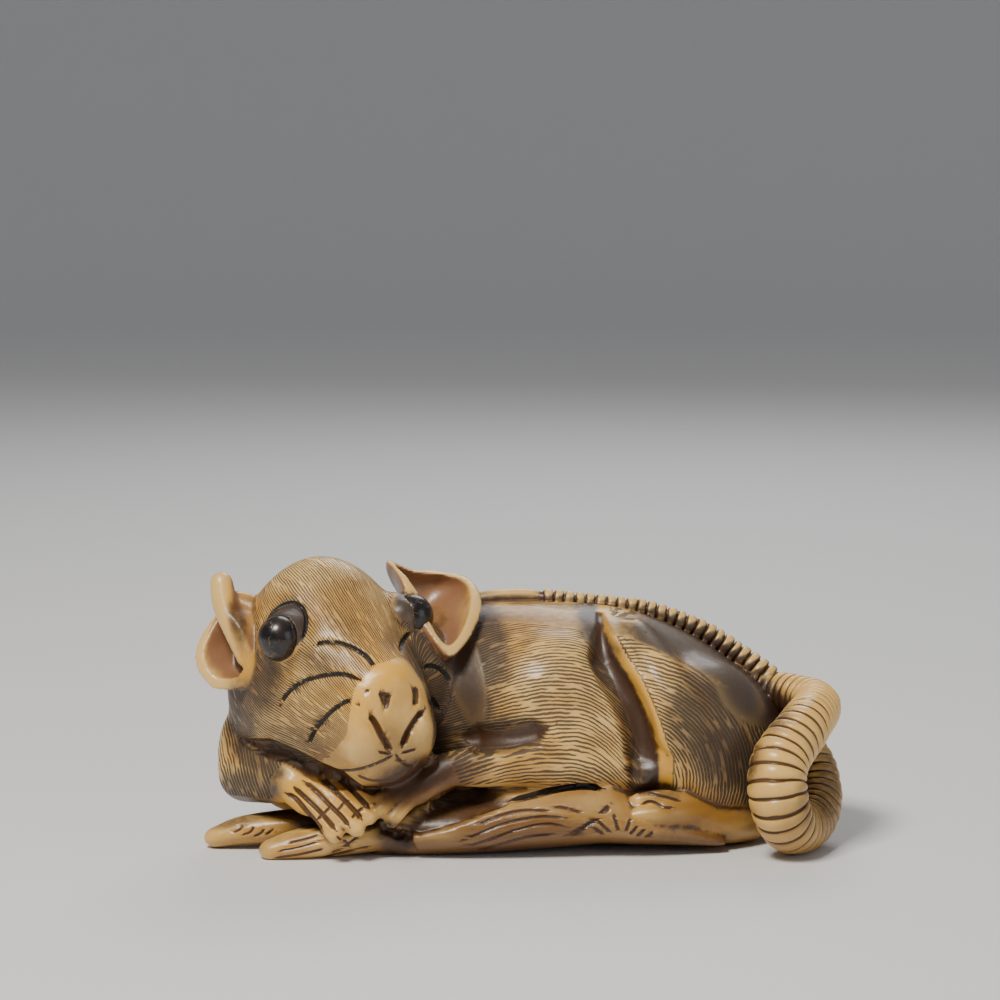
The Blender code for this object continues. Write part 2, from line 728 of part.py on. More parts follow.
def main():
    clear_scene()
    ivory = material("ivory", (0.62, 0.42, 0.2), 0.32)
    horn = material("horn", (0.012, 0.008, 0.008), 0.12)

    body = fuse("body", [*trunk(), *arms()], FORM_VOXEL, FORM_SMOOTHING)
    cut(body, ear_hollow("ear_hollow", LEFT_EAR, LEFT_EAR_ROOT))
    forms = fuse("forms", [body, *head()], FORM_VOXEL, FORM_SMOOTHING)
    rat = fuse("rat", [forms, *paws_and_feet(), *ears(), *fish()], DETAIL_VOXEL, DETAIL_SMOOTHING)
    carve(rat)
    thin = rat.modifiers.new("thin", "DECIMATE")
    thin.ratio = BODY_TRIANGLES / (2 * len(rat.data.polygons))
    apply_modifiers(rat)

    tail = notched_tube("tail", TAIL_ROUTE, TAIL_RING_PITCH, TAIL_RING_DEPTH, TAIL_SIDES, TAIL_RING)
    ridge = notched_tube("ridge", RIDGE_ROUTE, BEAD_PITCH, BEAD_DEPTH, RIDGE_SIDES, BEAD, RIDGE_PLAIN)
    cut(rat, tail, "UNION")
    cut(rat, ridge, "UNION")
    eyes = inlay_eyes(rat, horn)
    cut(rat, cord_channel())
    cut(rat, box("below", (-BIG, -BIG, -BIG), (BIG, BIG, 0)))

    rat.data.materials.clear()
    rat.data.materials.append(ivory)
    rat.name = "rat_on_fish"
    for item in (rat, *eyes):
        item.data.shade_smooth()
    print(rat.name, len(rat.data.polygons), "faces, each eye", len(eyes[0].data.polygons))
    return settle([rat, *eyes])


ORIGIN_SHIFT = main()
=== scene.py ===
# %% [markdown]
# # A carved rat on a dried fish
# This toggle was cut from one block of ivory, stained, and rubbed back until only the cuts and
# hollows kept the dark colour. Two beads of dark horn are let in as eyes.
# The plain solids are already packed. This lesson builds the fine surface over them: first the forms,
# then the cuts, then the places where stain lies, and last the ivory itself. Every form is worked out from
# numbers, so a reader can change one of them and see what it does.

# %% The fixed frame
import json
import math

import bmesh
import bpy
import numpy as np
from mathutils import Matrix, Vector
from mathutils import noise as drift
from mathutils.bvhtree import BVHTree

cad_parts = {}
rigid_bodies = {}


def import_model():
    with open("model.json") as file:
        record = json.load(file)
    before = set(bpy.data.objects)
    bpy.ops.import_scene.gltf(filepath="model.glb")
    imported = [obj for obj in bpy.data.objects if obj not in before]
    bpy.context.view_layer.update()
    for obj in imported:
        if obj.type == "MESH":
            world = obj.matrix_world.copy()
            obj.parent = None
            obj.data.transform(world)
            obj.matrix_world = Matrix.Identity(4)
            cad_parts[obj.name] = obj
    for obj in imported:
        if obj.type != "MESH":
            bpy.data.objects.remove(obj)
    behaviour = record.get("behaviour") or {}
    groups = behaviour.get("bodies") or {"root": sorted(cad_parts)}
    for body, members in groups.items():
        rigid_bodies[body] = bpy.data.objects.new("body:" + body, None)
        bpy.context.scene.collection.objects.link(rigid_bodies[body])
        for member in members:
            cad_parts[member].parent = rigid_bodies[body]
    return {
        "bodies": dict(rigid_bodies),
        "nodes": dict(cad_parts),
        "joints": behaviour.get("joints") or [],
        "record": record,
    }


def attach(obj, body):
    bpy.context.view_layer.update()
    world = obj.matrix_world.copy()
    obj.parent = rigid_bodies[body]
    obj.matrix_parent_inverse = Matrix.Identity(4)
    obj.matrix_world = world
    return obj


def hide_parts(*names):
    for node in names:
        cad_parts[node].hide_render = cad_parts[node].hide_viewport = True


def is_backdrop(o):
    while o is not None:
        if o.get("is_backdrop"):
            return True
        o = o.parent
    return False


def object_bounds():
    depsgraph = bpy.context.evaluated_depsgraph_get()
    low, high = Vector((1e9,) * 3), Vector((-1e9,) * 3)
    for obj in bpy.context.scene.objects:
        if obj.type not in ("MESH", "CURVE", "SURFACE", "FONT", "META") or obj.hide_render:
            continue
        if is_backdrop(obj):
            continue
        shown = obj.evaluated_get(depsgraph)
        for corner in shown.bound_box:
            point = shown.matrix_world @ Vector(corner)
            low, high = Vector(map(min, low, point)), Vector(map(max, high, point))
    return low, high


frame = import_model()
cad_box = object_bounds()
print("solids:", sorted(frame["nodes"]))

# %% [markdown]
# ## The camera
# The photograph looks at the toggle from the front, seven degrees downwards, through a long lens.
# The camera comes first, because some small cuts are easier to place where the photograph shows them:
# a pixel and a depth give one point in space.
# Forms are drawn in millimetres in the carver's frame: X along the body, Y away from the viewer, Z up.

# %% The camera and how it sees a point
MM = 0.001
LENS = 110.0
SENSOR = 36.0
LOOK_DOWN = math.radians(7)
DISTANCE = 287.0
AIM = Vector((-2.442, 0.0, 31.4516))
PIXELS = 1000
NEAR_CLIP = 0.01
ORIGIN = Vector((-0.52, -1.31, 0.0))

EYE_POINT = AIM + Vector((0, -math.cos(LOOK_DOWN), math.sin(LOOK_DOWN))) * DISTANCE
AHEAD = Vector((0, math.cos(LOOK_DOWN), -math.sin(LOOK_DOWN)))
UPWARD = Vector((0, math.sin(LOOK_DOWN), math.cos(LOOK_DOWN)))
SPREAD = SENSOR / LENS / PIXELS

camera = bpy.data.objects.new("camera", bpy.data.cameras.new("camera"))
bpy.context.scene.collection.objects.link(camera)
camera.data.lens = LENS
camera.data.sensor_width = SENSOR
camera.data.clip_start = NEAR_CLIP
camera.location = (EYE_POINT - ORIGIN) * MM
camera.rotation_euler = (math.pi / 2 - LOOK_DOWN, 0, 0)
bpy.context.scene.camera = camera


def at_pixel(px, py, depth):
    """The point of the carver's frame seen at a pixel, on the upright plane y = depth."""
    ray = AHEAD + Vector((1, 0, 0)) * (px - PIXELS / 2) * SPREAD
    ray += UPWARD * (PIXELS / 2 - py) * SPREAD
    return EYE_POINT + ray * ((depth - EYE_POINT.y) / ray.y)


def pixels_of(points):
    """Where the camera sees each row of points, as two arrays."""
    away = points - np.array(EYE_POINT)
    far = away @ np.array(AHEAD)
    across = away[:, 0] / far / SPREAD + PIXELS / 2
    down = PIXELS / 2 - (away @ np.array(UPWARD)) / far / SPREAD
    return across, down


print("camera at", [round(v, 4) for v in camera.location])

# %% [markdown]
# ## Skins
# Every form starts as a closed skin over rings of points: an upright loft for the trunk, the skull and
# the fish, a round-ended tube for limbs and fingers, and a ball for muscles and cheeks.
# A few stations and a smooth curve through them are enough, because the forms are fused and rounded
# later. Sculpting by hand would also do, but a loft can be read, measured and changed.

# %% Objects from meshes
def put(name, mesh):
    """A new object that holds this mesh."""
    item = bpy.data.objects.new(name, mesh)
    bpy.context.scene.collection.objects.link(item)
    return item


def put_bmesh(name, bm):
    """Turns a working mesh into an object, its faces pointing out."""
    bm.normal_update()
    bmesh.ops.recalc_face_normals(bm, faces=bm.faces)
    mesh = bpy.data.meshes.new(name)
    bm.to_mesh(mesh)
    bm.free()
    return put(name, mesh)


def apply_modifiers(item):
    """Replaces the object's mesh by what its modifiers make of it."""
    graph = bpy.context.evaluated_depsgraph_get()
    graph.update()
    made = bpy.data.meshes.new_from_object(item.evaluated_get(graph))
    item.modifiers.clear()
    old = item.data
    item.data = made
    bpy.data.meshes.remove(old)


print("tools: put, put_bmesh and apply_modifiers")

# %% Curves and lofts
def along(rows, share):
    """A row on the smooth curve through these rows of numbers, share running from 0 to 1."""
    rows = np.asarray(rows, float)
    place = min(max(share, 0.0), 1.0) * (len(rows) - 1)
    i = min(int(place), len(rows) - 2)
    t = place - i
    a, b = rows[i], rows[i + 1]
    before = rows[i - 1] if i else 2 * a - b
    after = rows[i + 2] if i + 2 < len(rows) else 2 * b - a
    bend = 2 * before - 5 * a + 4 * b - after
    return 0.5 * (2 * a + (b - before) * t + bend * t**2 + (3 * a - before - 3 * b + after) * t**3)


def skin(name, rings):
    """A closed skin over rings of points, each end capped by a fan to its middle."""
    bm = bmesh.new()
    rows = [[bm.verts.new(Vector(p) * MM) for p in ring] for ring in rings]
    sides = len(rows[0])
    for first, second in zip(rows, rows[1:]):
        for i in range(sides):
            j = (i + 1) % sides
            bm.faces.new((first[i], first[j], second[j], second[i]))
    for row in (rows[0], rows[-1]):
        middle = bm.verts.new(sum((v.co for v in row), Vector()) / sides)
        for i in range(sides):
            bm.faces.new((row[i], row[(i + 1) % sides], middle))
    return put_bmesh(name, bm)


def shell(name, stations, frame, steps=5, sides=36, crown=2.0, keel=2.3):
    """A body lofted over upright sections, each a superellipse, in the given frame.

    A station is (forward, sideways, half width, lowest, highest, level of the greatest width).
    """
    rings = []
    count = (len(stations) - 1) * steps
    for k in range(count + 1):
        far, shift, width, low, high, waist = along(stations, k / count)
        ring = []
        for i in range(sides):
            angle = 2 * math.pi * i / sides
            c, s = math.cos(angle), math.sin(angle)
            power = 2 / (crown if s > 0 else keel)
            reach = (high - waist) if s > 0 else (waist - low)
            across = shift + width * math.copysign(abs(c) ** power, c)
            ring.append(frame @ Vector((across, far, waist + reach * math.copysign(abs(s) ** power, s))))
        rings.append(ring)
    return skin(name, rings)


print("tools: along, skin and shell")

# %% Limbs, balls and blocks
def limb(name, points, steps=5, sides=16, flat=1.0):
    """A round-ended tube through rows of (x, y, z, radius). flat scales its thickness upwards."""
    count = (len(points) - 1) * steps
    rows = [along(points, k / count) for k in range(count + 1)]
    first, last = Vector(rows[0][:3]), Vector(rows[-1][:3])
    start = (Vector(rows[1][:3]) - first).normalized()
    end = (last - Vector(rows[-2][:3])).normalized()
    thick, thin = rows[0][3], rows[-1][3]
    swings = [math.radians(angle) for angle in (75, 50, 25)]
    stations = [(first - start * thick * math.sin(a), thick * math.cos(a)) for a in swings]
    stations += [(Vector(row[:3]), row[3]) for row in rows]
    stations += [(last + end * thin * math.sin(a), thin * math.cos(a)) for a in swings[::-1]]
    rings = []
    up = Vector((0, 0, 1))
    for k, (centre, radius) in enumerate(stations):
        before = stations[max(k - 1, 0)][0]
        after = stations[min(k + 1, len(stations) - 1)][0]
        ahead = (after - before).normalized()
        up = (up - ahead * up.dot(ahead)).normalized()
        side = ahead.cross(up)
        ring = []
        for i in range(sides):
            angle = 2 * math.pi * i / sides
            offset = (side * math.cos(angle) + up * math.sin(angle)) * radius
            offset.z *= flat
            ring.append(centre + offset)
        rings.append(ring)
    return skin(name, rings)


def ball(name, frame, radii, subdivisions=4):
    """An ellipsoid in the given frame."""
    bm = bmesh.new()
    bmesh.ops.create_icosphere(bm, subdivisions=subdivisions, radius=1.0)
    for v in bm.verts:
        v.co = (frame @ Vector(a * b for a, b in zip(v.co, radii))) * MM
    return put_bmesh(name, bm)


def box(name, low, high):
    """A block between two corners."""
    bm = bmesh.new()
    bmesh.ops.create_cube(bm, size=1.0)
    for v in bm.verts:
        v.co = Vector((h if a > 0 else l for a, l, h in zip(v.co, low, high))) * MM
    return put_bmesh(name, bm)


print("tools: limb, ball and box")

# %% [markdown]
# ## Fusing
# Clay would be pressed together and smoothed. Here a voxel remesh joins the skins into one surface,
# and a few rounds of smoothing melt the joins. The finer the voxels, the sharper the small forms stay,
# so big masses are fused first and coarsely, and fingers, ears and fish last and finely. A Boolean
# union would keep a sharp crease at each join, which a rubbed carving hasn't got.

# %% Fuse, refine and cut
FORM_VOXEL = 0.5
FORM_SMOOTHING = 6
FINE_VOXEL = 0.22
FINE_SMOOTHING = 5


def fuse(name, items, voxel, smoothing):
    """Joins overlapping closed shapes into one skin and rounds the joins."""
    bm = bmesh.new()
    for item in items:
        bm.from_mesh(item.data)
        bpy.data.objects.remove(item, do_unlink=True)
    made = put_bmesh(name, bm)
    remesh = made.modifiers.new("fuse", "REMESH")
    remesh.mode = "VOXEL"
    remesh.voxel_size = voxel * MM
    soften = made.modifiers.new("soften", "SMOOTH")
    soften.factor = 0.5
    soften.iterations = smoothing
    apply_modifiers(made)
    return made


def cut(item, cutter, operation="DIFFERENCE"):
    """A Boolean of two solids, applied. The second solid is used up."""
    boolean = item.modifiers.new("cut", "BOOLEAN")
    boolean.operation = operation
    boolean.solver = "MANIFOLD"
    boolean.object = cutter
    apply_modifiers(item)
    bpy.data.objects.remove(cutter, do_unlink=True)


def refine(item):
    """Rounds the coarse facets before a finer remesh."""
    rounder = item.modifiers.new("rounder", "SUBSURF")
    rounder.levels = 1
    rounder.render_levels = 1
    apply_modifiers(item)


def tree_of(items):
    """A search tree over the skins of several objects."""
    points = []
    faces = []
    for item in items:
        start = len(points)
        points += [v.co.copy() for v in item.data.vertices]
        faces += [[start + i for i in face.vertices] for face in item.data.polygons]
    return BVHTree.FromPolygons(points, faces)


print("voxels:", FORM_VOXEL, "and", FINE_VOXEL, "mm")

# %% [markdown]
# ## The rat's body
# The rat crouches, so its body is one low mass that swells at the flank and the haunch. The trunk is one
# loft from chest to rump. Haunches, thigh and flank are balls and a limb laid into it, as a carver
# thinks of muscles under a skin.

# %% Trunk and haunches
BODY_SHIFT = 2.5
BELLY_LEVEL = -0.5
SPINE_HEIGHT = 21.7


def across_frame():
    """The trunk's frame: x to the back, y along the body, z up."""
    return Matrix(((0, 1, 0, 0), (1, 0, 0, 0), (0, 0, 1, 0), (0, 0, 0, 1)))


def trunk():
    """Chest to rump, with the two haunches and the near flank."""
    body = shell(
        "trunk",
        [
            (-25.8, -0.5, 2.5, 4.5, 12.0, 8.5),
            (-23.6, 0.6, 6.0, 2.0, 15.5, 9.0),
            (-17.0, 2.9, 8.8, 0.0, 19.5, 10.0),
            (-9.0, 3.6, 9.8, BELLY_LEVEL, 21.4, 11.0),
            (-2.0, BODY_SHIFT + 0.2, 12.0, BELLY_LEVEL, SPINE_HEIGHT, 11.5),
            (8.0, BODY_SHIFT, 12.3, BELLY_LEVEL, SPINE_HEIGHT - 0.6, 11.0),
            (14.5, BODY_SHIFT, 11.6, BELLY_LEVEL, 18.9, 9.0),
            (19.5, BODY_SHIFT, 10.2, 0.0, 15.8, 7.5),
            (23.2, BODY_SHIFT, 7.6, 1.4, 12.6, 6.5),
            (25.2, BODY_SHIFT, 3.0, 4.0, 8.6, 6.3),
        ],
        across_frame(),
    )
    lean = Matrix.Rotation(-0.35, 4, "Y")
    near = ball("near_haunch", Matrix.Translation((16.6, -2.6, 8.8)) @ lean, (7.0, 8.2, 8.6))
    far = ball("far_haunch", Matrix.Translation((13.5, 8.6, 8.6)) @ lean, (9.0, 6.4, 9.4))
    thigh = limb(
        "near_thigh",
        [
            (9.9, -2.4, 18.6, 2.2),
            (11.9, -5.8, 15.6, 2.8),
            (14.3, -7.6, 12.0, 3.1),
            (16.4, -7.9, 8.0, 3.0),
        ],
    )
    flank = ball("flank", Matrix.Translation((2.4, -3.4, 12.8)), (8.0, 7.0, 7.2))
    return [body, near, far, thigh, flank]


trunk_parts = trunk()
print("trunk parts:", len(trunk_parts))

# %% [markdown]
# ## The head
# The head turns towards the viewer, so it is drawn in a frame of its own, symmetrical about its
# middle, and turned as a whole. Cheeks, brows, lips and chin are balls pressed into the skull.

# %% Skull, cheeks and brows
HEAD_POSITION = (-17.7, -6.3, 0.0)
HEAD_TURN = math.radians(33)
HEAD_ROLL = math.radians(3)
ROLL_PIVOT = (0.0, 0.0, 16.0)


def head_frame():
    """The head's frame: x to its left, y out of the muzzle, z up."""
    c, s = math.cos(HEAD_TURN), math.sin(HEAD_TURN)
    x, y, z = HEAD_POSITION
    turned = Matrix(((c, s, 0, x), (s, -c, 0, y), (0, 0, 1, z), (0, 0, 0, 1)))
    pivot = Matrix.Translation(ROLL_PIVOT)
    return turned @ pivot @ Matrix.Rotation(-HEAD_ROLL, 4, "Y") @ pivot.inverted()


def head():
    """The skull as a loft from neck to nose, and the masses pressed into it."""
    frame = head_frame()
    skull = shell(
        "skull",
        [
            (-12.0, 0.0, 3.0, 10.0, 18.0, 14.0),
            (-9.5, 0.0, 6.2, 7.5, 21.8, 14.0),
            (-6.0, 0.0, 8.0, 6.6, 25.2, 14.0),
            (-2.8, 0.0, 8.6, 6.4, 26.8, 14.0),
            (0.2, 0.0, 8.5, 6.4, 26.2, 14.0),
            (3.0, 0.0, 7.6, 6.4, 24.0, 14.0),
            (5.6, 0.0, 6.4, 6.6, 21.8, 13.5),
            (8.0, 0.0, 5.3, 6.9, 19.9, 13.2),
            (9.8, 0.0, 4.5, 7.4, 18.7, 13.0),
            (10.9, 0.0, 3.6, 8.6, 17.6, 13.0),
            (11.4, 0.0, 1.8, 10.6, 15.8, 13.1),
        ],
        frame,
        crown=2.0,
        keel=2.2,
    )
    parts = [skull]
    for side, ahead, level, radii in (
        (6.9, 1.2, 14.8, (4.4, 5.2, 6.2)),
        (-4.4, -0.8, 13.2, (3.7, 5.4, 5.4)),
        (6.0, 1.6, 20.5, (2.2, 2.3, 2.7)),
        (-5.9, 1.8, 20.4, (2.4, 2.8, 2.8)),
        (2.1, 9.2, 11.8, (2.7, 2.6, 3.1)),
        (-2.1, 9.2, 11.8, (2.7, 2.6, 3.1)),
        (0.0, 9.4, 16.6, (2.5, 2.0, 2.2)),
        (0.0, 8.6, 8.6, (2.8, 1.9, 1.6)),
    ):
        parts.append(ball("head_mass", frame @ Matrix.Translation((side, ahead, level)), radii))
    return parts


head_parts = head()
print("head parts:", len(head_parts))

# %% [markdown]
# ## Arms, paws and feet
# One arm lies along the fish, and the other folds under the chin. A finger is a tube that leaves the palm,
# rises over its knuckle and comes down at its tip. Tubes side by side fuse into a paw, and the grooves
# between them are cut afterwards, as on the real carving.

# %% Arms
def arms():
    """The near arm lies along the fish. The far arm folds round the front."""
    near_upper = ball(
        "near_upper_arm",
        Matrix.Translation((3.6, -4.8, 10.6)) @ Matrix.Rotation(0.2, 4, "Y"),
        (8.6, 6.4, 6.4),
    )
    near_fore = limb(
        "near_forearm",
        [(9.3, -7.4, 8.0, 3.3), (4.0, -8.8, 8.3, 2.9), (-2.0, -9.8, 8.3, 2.3), (-7.5, -11.0, 7.8, 1.9)],
    )
    far_upper = limb(
        "far_upper_arm",
        [(-22.0, 0.0, 12.0, 4.5), (-25.2, -2.4, 9.2, 3.7), (-26.0, -4.6, 6.4, 3.0)],
    )
    far_fore = limb(
        "far_forearm",
        [(-26.0, -4.8, 6.5, 2.9), (-24.0, -8.0, 6.6, 2.5), (-21.3, -10.8, 6.7, 2.0)],
    )
    return [near_upper, near_fore, far_upper, far_fore]


arm_parts = arms()
near_arm, far_arm = arm_parts[:2], arm_parts[2:]
print("arm parts:", len(arm_parts))

# %% One paw
def paw(name, wrist, tips, palm_radius, finger_radius):
    """A palm at the wrist and one finger to each tip."""
    fingers = []
    for k, tip in enumerate(tips):
        a, b = Vector(wrist), Vector(tip)
        knuckle = a.lerp(b, 0.62) + Vector((0, 0, 0.45))
        rows = [
            (*a, palm_radius),
            (*a.lerp(b, 0.33), palm_radius * 0.6 + finger_radius * 0.3),
            (*knuckle, finger_radius),
            (*b, finger_radius * 0.85),
        ]
        fingers.append(limb(f"{name}_{k}", rows, steps=3, sides=12))
    return fingers


print("tool: paw")

# %% Paws and feet
def paws_and_feet():
    """Both front paws, and both hind feet with their toes."""
    folded = paw(
        "far_paw",
        (-21.3, -11.0, 6.6),
        [(-13.9, -12.6, 5.3), (-14.3, -13.5, 4.2), (-15.4, -14.2, 3.2), (-17.4, -14.4, 2.7)],
        1.8,
        0.95,
    )
    holding = paw(
        "near_paw",
        (-7.8, -11.2, 7.4),
        [(-13.3, -12.9, 5.7), (-13.3, -13.4, 4.7), (-12.3, -13.7, 3.8)],
        1.7,
        0.8,
    )
    near_foot = limb(
        "near_foot",
        [(20.6, -5.4, 2.3, 2.3), (18.0, -7.8, 2.5, 2.1), (14.8, -9.6, 3.2, 1.6)],
        steps=4,
    )
    near_toes = [
        limb(
            f"near_toe_{k}",
            [(16.4, -9.2, 3.4, 1.3), (12.9, y + 0.2, z + 0.1, 0.95), (10.2, y, z, 0.8)],
            steps=3,
            sides=12,
        )
        for k, (y, z) in enumerate([(-10.8, 5.0), (-11.8, 3.9)])
    ]
    far_foot = limb(
        "far_foot",
        [(19.0, 9.5, 2.0, 2.3), (13.0, 12.4, 1.9, 1.8), (8.5, 13.0, 1.7, 1.5)],
        steps=4,
    )
    far_toes = [
        limb(
            f"far_toe_{k}",
            [
                (9.5, 12.6, 1.7, 1.1),
                (6.5, 12.6 + spread, 1.4, 0.85),
                (3.8, 12.4 + 1.4 * spread, 1.0, 0.75),
            ],
            steps=3,
            sides=12,
        )
        for k, spread in enumerate((-1.2, 0.0, 1.1))
    ]
    return [*folded, *holding, near_foot, *near_toes, far_foot, *far_toes]


paw_parts = paws_and_feet()
print("paw and foot parts:", len(paw_parts))

# %% [markdown]
# ## The ears
# An ear is a cup: an inner skin that runs from the rim down to the root, and an outer skin around it.
# The rim is a closed curve through a few points, because that curve is what the eye follows.
# The rat's right ear is half folded over, the left one is cut into the shoulder behind it.

# %% The curves of the ears
RIGHT_EAR = [
    (-27.6, -6.6, 22.8),
    (-27.9, -8.2, 21.6),
    (-26.8, -9.4, 20.0),
    (-25.8, -10.0, 18.0),
    (-26.6, -9.8, 16.4),
    (-28.8, -9.0, 16.3),
    (-29.8, -8.0, 18.2),
    (-29.0, -7.0, 20.2),
    (-27.9, -5.8, 22.2),
]
RIGHT_EAR_ROOT = (-23.4, -5.2, 19.8)
RIGHT_EAR_FOLD = [
    (-28.1, -6.4, 24.5, 1.1),
    (-27.7, -7.2, 22.6, 1.2),
    (-26.9, -8.6, 20.4, 0.9),
    (-25.8, -9.4, 17.9, 0.7),
]
RIGHT_EAR_LINK = [
    (-27.2, -6.8, 22.0, 1.2),
    (-25.6, -6.0, 21.2, 1.3),
    (-23.6, -5.4, 20.6, 1.4),
]
LEFT_EAR = [
    (-12.2, -1.0, 25.5),
    (-10.9, -2.8, 24.4),
    (-9.8, -4.2, 22.9),
    (-8.8, -6.2, 20.8),
    (-7.2, -7.4, 18.9),
    (-5.8, -5.8, 20.2),
    (-5.1, -2.6, 22.3),
    (-5.7, 0.2, 23.7),
    (-7.8, 1.4, 24.2),
    (-10.4, 0.8, 24.5),
]
LEFT_EAR_ROOT = (-9.8, 0.6, 20.6)
print("points on the rims:", len(RIGHT_EAR), "and", len(LEFT_EAR))

# %% Ears
def ear_skins(rim, root, thickness, rows=7, sides=40):
    """The rings of a cupped ear's inner skin, from rim to root, and of its outer skin."""
    loop = rim + rim[:2]
    spans = len(loop) - 1
    edge = [Vector(along(loop, (0.5 + k * (spans - 1) / sides) / spans)) for k in range(sides)]
    middle = sum(edge, Vector()) / sides
    well = Vector(root) - middle
    deep = well.normalized()
    inner, outer = [], []
    for r in range(rows + 1):
        t = r / rows
        narrow = 1 - 0.9 * t**2.2
        ring = [middle + (p - middle) * narrow + well * t for p in edge]
        inner.append(ring)
        outer_ring = []
        for p, point in zip(edge, ring):
            outward = (p - middle).normalized() * (1 - 0.8 * t) + deep * (0.3 + 0.7 * t)
            outer_ring.append(point + outward.normalized() * thickness)
        outer.append(outer_ring)
    return inner, outer


def ear(name, rim, root, thickness=1.15):
    """One ear: both skins, joined over the rim."""
    inner, outer = ear_skins(rim, root, thickness)
    return skin(name, inner[::-1] + outer)


def ear_hollow(name, rim, root):
    """The space inside an ear, reaching a little out of its mouth."""
    inner, _ = ear_skins(rim, root, 1.0)
    middle = sum(inner[0], Vector()) / len(inner[0])
    out = (middle - Vector(root)).normalized() * 2.5
    return skin(name, [[p + out for p in inner[0]], *inner])


def ears():
    """Both ears. The right one's upper part is folded over."""
    right = ear("right_ear", RIGHT_EAR, RIGHT_EAR_ROOT)
    left = ear("left_ear", LEFT_EAR, LEFT_EAR_ROOT)
    fold = limb("right_ear_fold", RIGHT_EAR_FOLD, sides=12)
    link = limb("right_ear_link", RIGHT_EAR_LINK)
    return [right, left, fold, link]


ear_parts = ears()
print("ear parts:", len(ear_parts))

# %% [markdown]
# ## The dried fish
# The fish is a flat spindle. Its two tail lobes stick out under the rat's chin. It is a loft and two
# flattened tubes, and its open belly is sunk in later.

# %% Fish
def fish():
    """The dried fish: a spindle with two tail lobes and a pointed jaw. Its open belly is sunk in later."""
    body = shell(
        "fish_body",
        [
            (-17.5, -9.6, 1.8, 0.2, 3.4, 2.0),
            (-14.0, -9.8, 2.6, -0.2, 4.2, 2.0),
            (-10.0, -9.6, 3.6, -0.3, 5.0, 2.3),
            (-5.0, -9.0, 4.6, -0.3, 5.6, 2.6),
            (1.0, -8.4, 5.0, 0.0, 6.4, 3.0),
            (6.5, -8.2, 4.8, 0.5, 6.8, 3.2),
            (10.0, -8.8, 4.0, 0.6, 5.2, 2.8),
            (14.0, -9.2, 2.6, 0.6, 3.4, 1.9),
            (17.0, -9.6, 1.3, 0.6, 2.0, 1.2),
            (18.3, -9.9, 0.5, 0.7, 1.2, 0.9),
        ],
        across_frame(),
        keel=1.6,
    )
    rear_lobe = limb(
        "fish_rear_lobe",
        [
            (-16.0, -8.4, 2.2, 2.2),
            (-21.0, -7.6, 2.1, 2.0),
            (-26.0, -7.6, 1.6, 1.8),
            (-28.6, -7.8, 1.0, 1.3),
        ],
        flat=0.75,
    )
    front_lobe = limb(
        "fish_front_lobe",
        [
            (-12.0, -10.4, 2.2, 2.3),
            (-17.0, -11.0, 1.7, 2.2),
            (-21.0, -11.6, 1.2, 1.8),
            (-23.2, -12.0, 0.8, 1.3),
        ],
        flat=0.75,
    )
    return [body, rear_lobe, front_lobe]


fish_parts = fish()
print("fish parts:", len(fish_parts))

# %% [markdown]
# ## One block
# Before the skins are used up, search trees keep where each form was, so that later every point of
# the fused surface can be asked which form it belongs to.

# %% Fuse everything
# The left eye sits behind a swollen lid, and its lower rim is the cheek
LIDS = [(-11.6, -5.35, 21.1, 1.95), (-10.2, -5.2, 18.9, 1.8)]
lids = [ball("lid", Matrix.Translation(row[:3]), (row[3],) * 3) for row in LIDS]
forms = {
    "body": tree_of([*trunk_parts, *near_arm]),
    "head": tree_of([*head_parts, *lids]),
    "far_arm": tree_of(far_arm),
    "paws": tree_of(paw_parts),
    "ears": tree_of(ear_parts),
    "fish": tree_of(fish_parts),
}
masses = fuse("masses", [*trunk_parts, *arm_parts], FORM_VOXEL, FORM_SMOOTHING)
cut(masses, ear_hollow("ear_hollow", LEFT_EAR, LEFT_EAR_ROOT))
masses = fuse("masses", [masses, *head_parts], FORM_VOXEL, FORM_SMOOTHING)
refine(masses)
chin_rest = ball("chin_rest", Matrix.Translation((-14.2, -10.4, 6.4)), (3.2, 1.8, 1.6))
small_forms = [*lids, chin_rest, *paw_parts, *ear_parts, *fish_parts]
rat = fuse("rat", [masses, *small_forms], FINE_VOXEL, FINE_SMOOTHING)
print("fused skin:", len(rat.data.polygons), "faces")

# %% [markdown]
# ## Cutting
# A groove follows a path across the side that faces the viewer. Its width is measured across the view,
# so a path only has to look right from the front, and the blade follows whatever surface lies there.
# The same measure serves twice: first to push the surface in, later to say where stain collects.

# %% The blade's direction, and the skin it works on
FRONT = Vector((0.0, 0.98, -0.2)).normalized()


def rise(low, high, value):
    """A soft step from 0 at low to 1 at high."""
    t = np.clip((value - low) / (high - low), 0, 1)
    return t * t * (3 - 2 * t)


def read_mesh(mesh):
    """The points, in millimetres, and the normals of a mesh."""
    count = len(mesh.vertices)
    points = np.empty(count * 3, np.float32)
    normals = np.empty(count * 3, np.float32)
    mesh.vertices.foreach_get("co", points)
    mesh.vertex_normals.foreach_get("vector", normals)
    return points.reshape(-1, 3).astype(float) / MM, normals.reshape(-1, 3).astype(float)


def move(item, points):
    """Puts the points of an object at new places, given in millimetres."""
    item.data.vertices.foreach_set("co", (points * MM).astype(np.float32).ravel())
    item.data.update()


print("the blade looks along", [round(v, 2) for v in FRONT])

# %% How far a point lies from a path
FAR_OFF = 3.0


